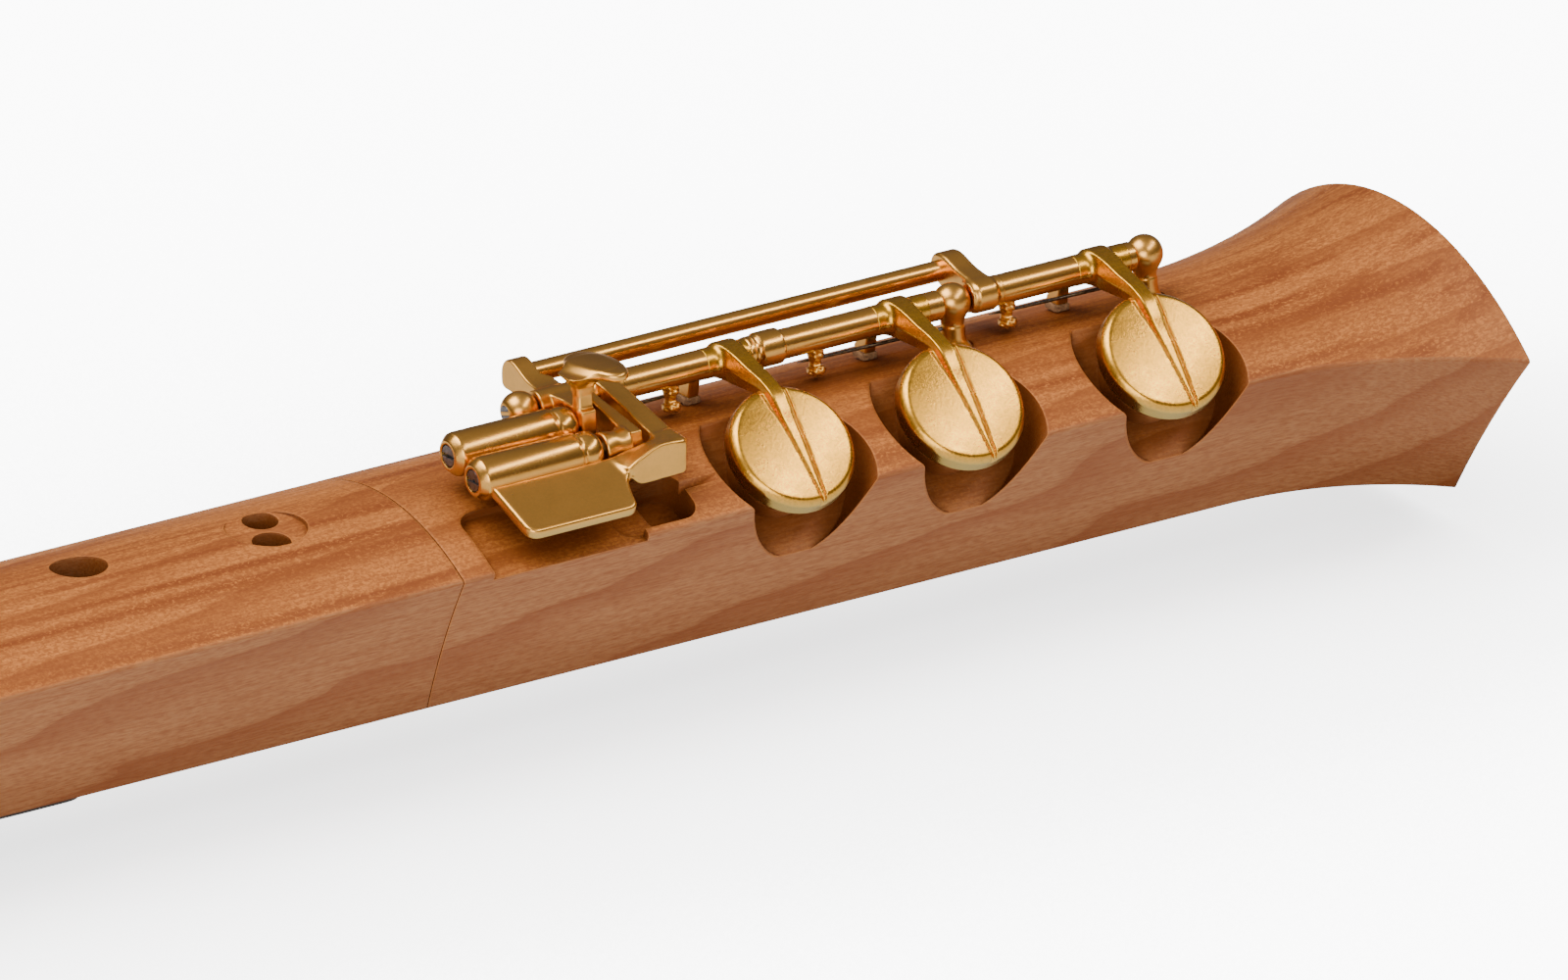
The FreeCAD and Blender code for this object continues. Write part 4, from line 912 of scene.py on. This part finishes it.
def hook_field(x, y, z):
    """A small cast peg with a groove for the needle spring."""
    radius = np.hypot(x, y)
    lump = 0.1 * np.sin(5.1 * x + 2.0) * np.sin(4.3 * y) + 0.05 * np.sin(9.0 * z + 6.0 * x)
    peg = np.maximum(radius - 0.8, between(z, 14.9, 19.4))
    upper = np.hypot(np.maximum(radius - 0.45, 0), z - 17.75) - 0.66
    lower = np.hypot(np.maximum(radius - 0.75, 0), z - 15.55) - 0.6
    foot = np.maximum(radius - 1.15, between(z, 18.3, 19.4))
    hook = joined(joined(peg, upper, 0.25), joined(lower, foot, 0.2), 0.25) + lump
    groove = np.hypot(z - 16.65, y + 0.85) - 0.42
    hook = np.maximum(hook, -groove)
    return bored(hook, y, z, PEG_ROOM)


def heel_field(x, y, z):
    """The heel behind a tube that stops the key on its cork."""
    side = polygon(
        y,
        z,
        eased(
            [(1.2, 18.2), (2.0, 15.1), (5.0, 15.1), (5.0, 15.9), (3.5, 17.3), (2.3, 20.4), (1.0, 19.6)],
            0.35,
        ),
    )
    heel = rounded(side, np.abs(x) - 0.85, 0.25)
    return bored(heel, y, z, PEG_ROOM)


def cork_field(x, y, z):
    """The cork under a heel."""
    block = rounded(np.abs(x) - 1.2, between(y, 2.0, 5.0), 0.35)
    return rounded(block, between(z, 14.13, 15.14), 0.2)


def make_small_parts():
    kinds = (
        ("spring_hook", "spring_hook_cast", HOOKS, (-2, -2, 14.4), (2, 2, 19.6), hook_field, 0.09),
        ("stop_heel", "stop_heel_cast", HEELS, (-1.5, 0.8, 14.8), (1.5, 5.3, 20.7), heel_field, 0.11),
        ("stop_cork", "stop_cork_block", HEELS, (-1.5, 1.7, 13.9), (1.5, 5.3, 15.4), cork_field, 0.11),
    )
    for node, name, stations, low, high, field, step in kinds:
        finish = (cork, "cork") if node == "stop_cork" else (gold_cast, "gold")
        for key, part in cast_row("{}_" + name, stations, low, high, field, step):
            dress(part, *finish, f"{key}_key", f"{key}_{node}")
    collar = np.concatenate(
        [
            [(58.7, 1.5), (58.7, 2.12)],
            curve([(58.85, 2.22), (59.3, 2.24), (59.45, 2.08), (59.6, 2.24), (59.95, 2.24)], False, 3),
            curve(
                [(60.1, 2.08), (60.3, 2.2), (60.55, 2.44), (60.9, 2.5), (63.6, 2.5), (63.95, 2.44)],
                False,
                3,
            ),
            [(64.1, 2.3), (64.1, 1.5)],
        ]
    )
    ring = lathe("f_key_collar", collar, (0, 0, HINGE_Z))
    dress(ring, gold_turned, "gold", "f_key", "f_collar")


def make_lappings():
    """Cork lappings on the two tenons."""
    for name, start, stop, outer in (("foot", 4.0, 16.6, 10.55), ("head", -258.0, -242.0, 11.55)):
        ribs = np.linspace(start + 0.6, stop - 0.6, 41)
        tops = [(rib, outer - 0.04 * (index % 2)) for index, rib in enumerate(ribs)]
        inner, shoulder = outer - 0.95, outer - 0.35
        profile = [(start, inner), (start, shoulder), *tops, (stop, shoulder), (stop, inner)]
        lapping = lathe(f"{name}_cork_lapping", profile, (0, 0, 0), "x", 96)
        dress(lapping, cork, "cork", "middle", f"{name}_tenon_cork")


def make_thumb_rest():
    """The black thumb rest, its edges rounded."""
    side_outline = curve(
        [
            (-88.2, -14.6),
            (-88.6, -17.2),
            (-87.6, -23.1),
            (-85.6, -23.1),
            (-83.4, -19.6),
            (-79.0, -16.7),
            (-70.0, -16.3),
            (-60.0, -16.3),
            (-52.4, -16.2),
            (-51.7, -15.4),
            (-51.7, -14.4),
            (-60.0, -14.35),
            (-75.0, -14.35),
        ],
        steps=5,
    )
    plan_outline = eased([(-51.6, -7.0), (-51.6, 7.0), (-90.0, 7.0), (-90.0, -7.0)], [3.0, 3.0, 1.0, 1.0], 8)

    def field(x, y, z):
        side = polygon(x, z, side_outline)
        plan = polygon(x, y, plan_outline)
        rest = rounded(side, plan, 0.5)
        for place in (-60.6, -75.6):
            sink = np.maximum(np.hypot(x - place, y) - 1.95, z + 15.5)
            rest = np.maximum(rest, -sink)
        return rest

    rest = cast("thumb_rest_moulded", (-89.5, -7.4, -23.8), (-51.2, 7.4, -14.0), field, 0.22)
    dress(rest, plastic, "black_plastic", "middle", "thumb_rest")


make_cups()
make_touches()
make_rollers()
make_needles()
make_posts()
make_small_parts()
make_lappings()
make_thumb_rest()

# ---------------------------------------------------------------- carried-over CAD nodes

CARRIED = {
    foot_wood: ("pearwood", ["foot_joint"]),
    middle_wood: ("pearwood", ["middle_joint"]),
    head_wood: ("pearwood", ["head_joint"]),
    cedar: ("cedar", ["windway_block"]),
    gold_turned: ("gold", ["f_sharp_tube", "f_tube", "e_tube", "e_bridge_rod"]),
    steel: (
        "steel",
        [
            "hinge_rod",
            "f_inner_tube",
            "front_roller_pin",
            "rear_roller_pin",
            "thumb_rest_screws",
        ],
    ),
}
for material, (slot_name, names) in CARRIED.items():
    for name in names:
        nodes[name].data.materials.clear()
        nodes[name].data.materials.append(material)

# ---------------------------------------------------------------- studio

KEYS_MIDDLE = at(75, 0, 8)

# In metres: the floor, just under the thumb rest, and how far the instrument's painted shadow reaches on it.
FLOOR_HALF, FLOOR_Z = 6.0, -0.0235
PAINTED_SHADOW_REACH = 0.3
PAPER_WHITE = 10.0

# Each light's name, place from the middle of the keys, width and height in metres, and watts.
SOFTBOXES = [
    ("key", Vector((0.486, -0.47, 0.737)) * 1.5, 2.0, 0.18, 11.5),
    ("overhead", Vector((-0.6, 0.15, 1.2)), 1.1, 0.8, 19.0),
    ("front", Vector((-0.9, -1.2, 0.35)), 1.0, 0.7, 11.0),
]


def softbox(name, offset, wide, tall, power):
    """A rectangular lamp, turned to the middle of the keys."""
    light = bpy.data.lights.new(name, "AREA")
    light.shape = "RECTANGLE"
    light.size, light.size_y = wide, tall
    light.energy = power
    obj = placed(name, light)
    obj.location = KEYS_MIDDLE + offset
    obj.rotation_euler = (KEYS_MIDDLE - obj.location).to_track_quat("-Z", "Y").to_euler()
    obj.visible_camera = False
    return obj


def make_floor():
    """Glowing white paper with a painted shadow round the instrument; every ray but the camera's meets plain
    grey.
    """
    corners = [(x * FLOOR_HALF, y * FLOOR_HALF, FLOOR_Z) for x, y in ((-1, -1), (1, -1), (1, 1), (-1, 1))]
    floor = meshed("floor", corners, [(0, 1, 2, 3)])
    look = Surface("floor_paper")
    # Painted shadow: the paper's emission is dimmed where the instrument crowds it.
    shadow_openness = look.openness(PAINTED_SHADOW_REACH, 16)
    shadowed_glow = look.ramp(shadow_openness, greys((0.3, 0.24), (0.8, 0.44), (0.94, 0.56), (0.99, 1.0)))
    look.set(
        Base_Color=(0.88, 0.88, 0.88, 1.0),
        Roughness=0.9,
        Emission_Color=(1.0, 1.0, 1.0, 1.0),
        Emission_Strength=look.math("MULTIPLY", shadowed_glow, PAPER_WHITE),
    )
    grey = look.add("BsdfDiffuse", {"Color": (0.42, 0.4, 0.38, 1.0)})
    warm = look.add("Emission", {"Color": (1.0, 0.96, 0.9, 1.0), "Strength": 0.45})
    dim = look.add("AddShader", {0: grey.outputs[0], 1: warm.outputs[0]})
    seen = look.add("LightPath").outputs["Is Camera Ray"]
    parts = {0: seen, 1: dim.outputs[0], 2: look.shader.outputs[0]}
    output = look.tree.nodes["Material Output"]
    look.tree.links.new(look.add("MixShader", parts).outputs[0], output.inputs["Surface"])
    floor.data.materials.append(look.material)


def make_world():
    """White to the camera, but to the gold a dim backdrop that is lighter above."""
    world = bpy.data.worlds.new("studio")
    bpy.context.scene.world = world
    world.use_nodes = True
    tree = world.node_tree
    backdrop = tree.nodes["Background"]
    place, split, shade, white, rays, swap = (
        tree.nodes.new("ShaderNode" + kind)
        for kind in ("TexCoord", "SeparateXYZ", "ValToRGB", "Background", "LightPath", "MixShader")
    )
    for source, target in (
        (place.outputs["Generated"], split.inputs[0]),
        (split.outputs["Z"], shade.inputs["Fac"]),
        (shade.outputs["Color"], backdrop.inputs["Color"]),
        (rays.outputs["Is Camera Ray"], swap.inputs[0]),
        (backdrop.outputs[0], swap.inputs[1]),
        (white.outputs[0], swap.inputs[2]),
        (swap.outputs[0], tree.nodes["World Output"].inputs["Surface"]),
    ):
        tree.links.new(source, target)
    below, above = shade.color_ramp.elements
    below.position, below.color = 0.0, (0.1, 0.09, 0.08, 1)
    above.position, above.color = 1.0, (0.5, 0.5, 0.51, 1)
    backdrop.inputs["Strength"].default_value = 0.55
    white.inputs["Color"].default_value = (1, 1, 1, 1)
    white.inputs["Strength"].default_value = PAPER_WHITE


def make_camera():
    """Looks down the instrument from above its touches, through a long lens."""
    right = Vector((0.84743, -0.52958, -0.03761))
    up = Vector((0.21475, 0.27713, 0.93653))
    back = Vector((-0.48554, -0.80172, 0.34857))
    target = at(64.14, 0.0, -0.52)
    distance = 5.925
    data = bpy.data.cameras.new("camera")
    data.sensor_width = 36.0
    data.lens = 1000.0
    data.clip_end = 50.0
    camera = placed("camera", data)
    turn = Matrix((right, up, back)).transposed().to_4x4()
    camera.matrix_world = Matrix.Translation(target + back * distance) @ turn
    bpy.context.scene.camera = camera


make_floor()
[softbox(*settings) for settings in SOFTBOXES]
make_world()
make_camera()
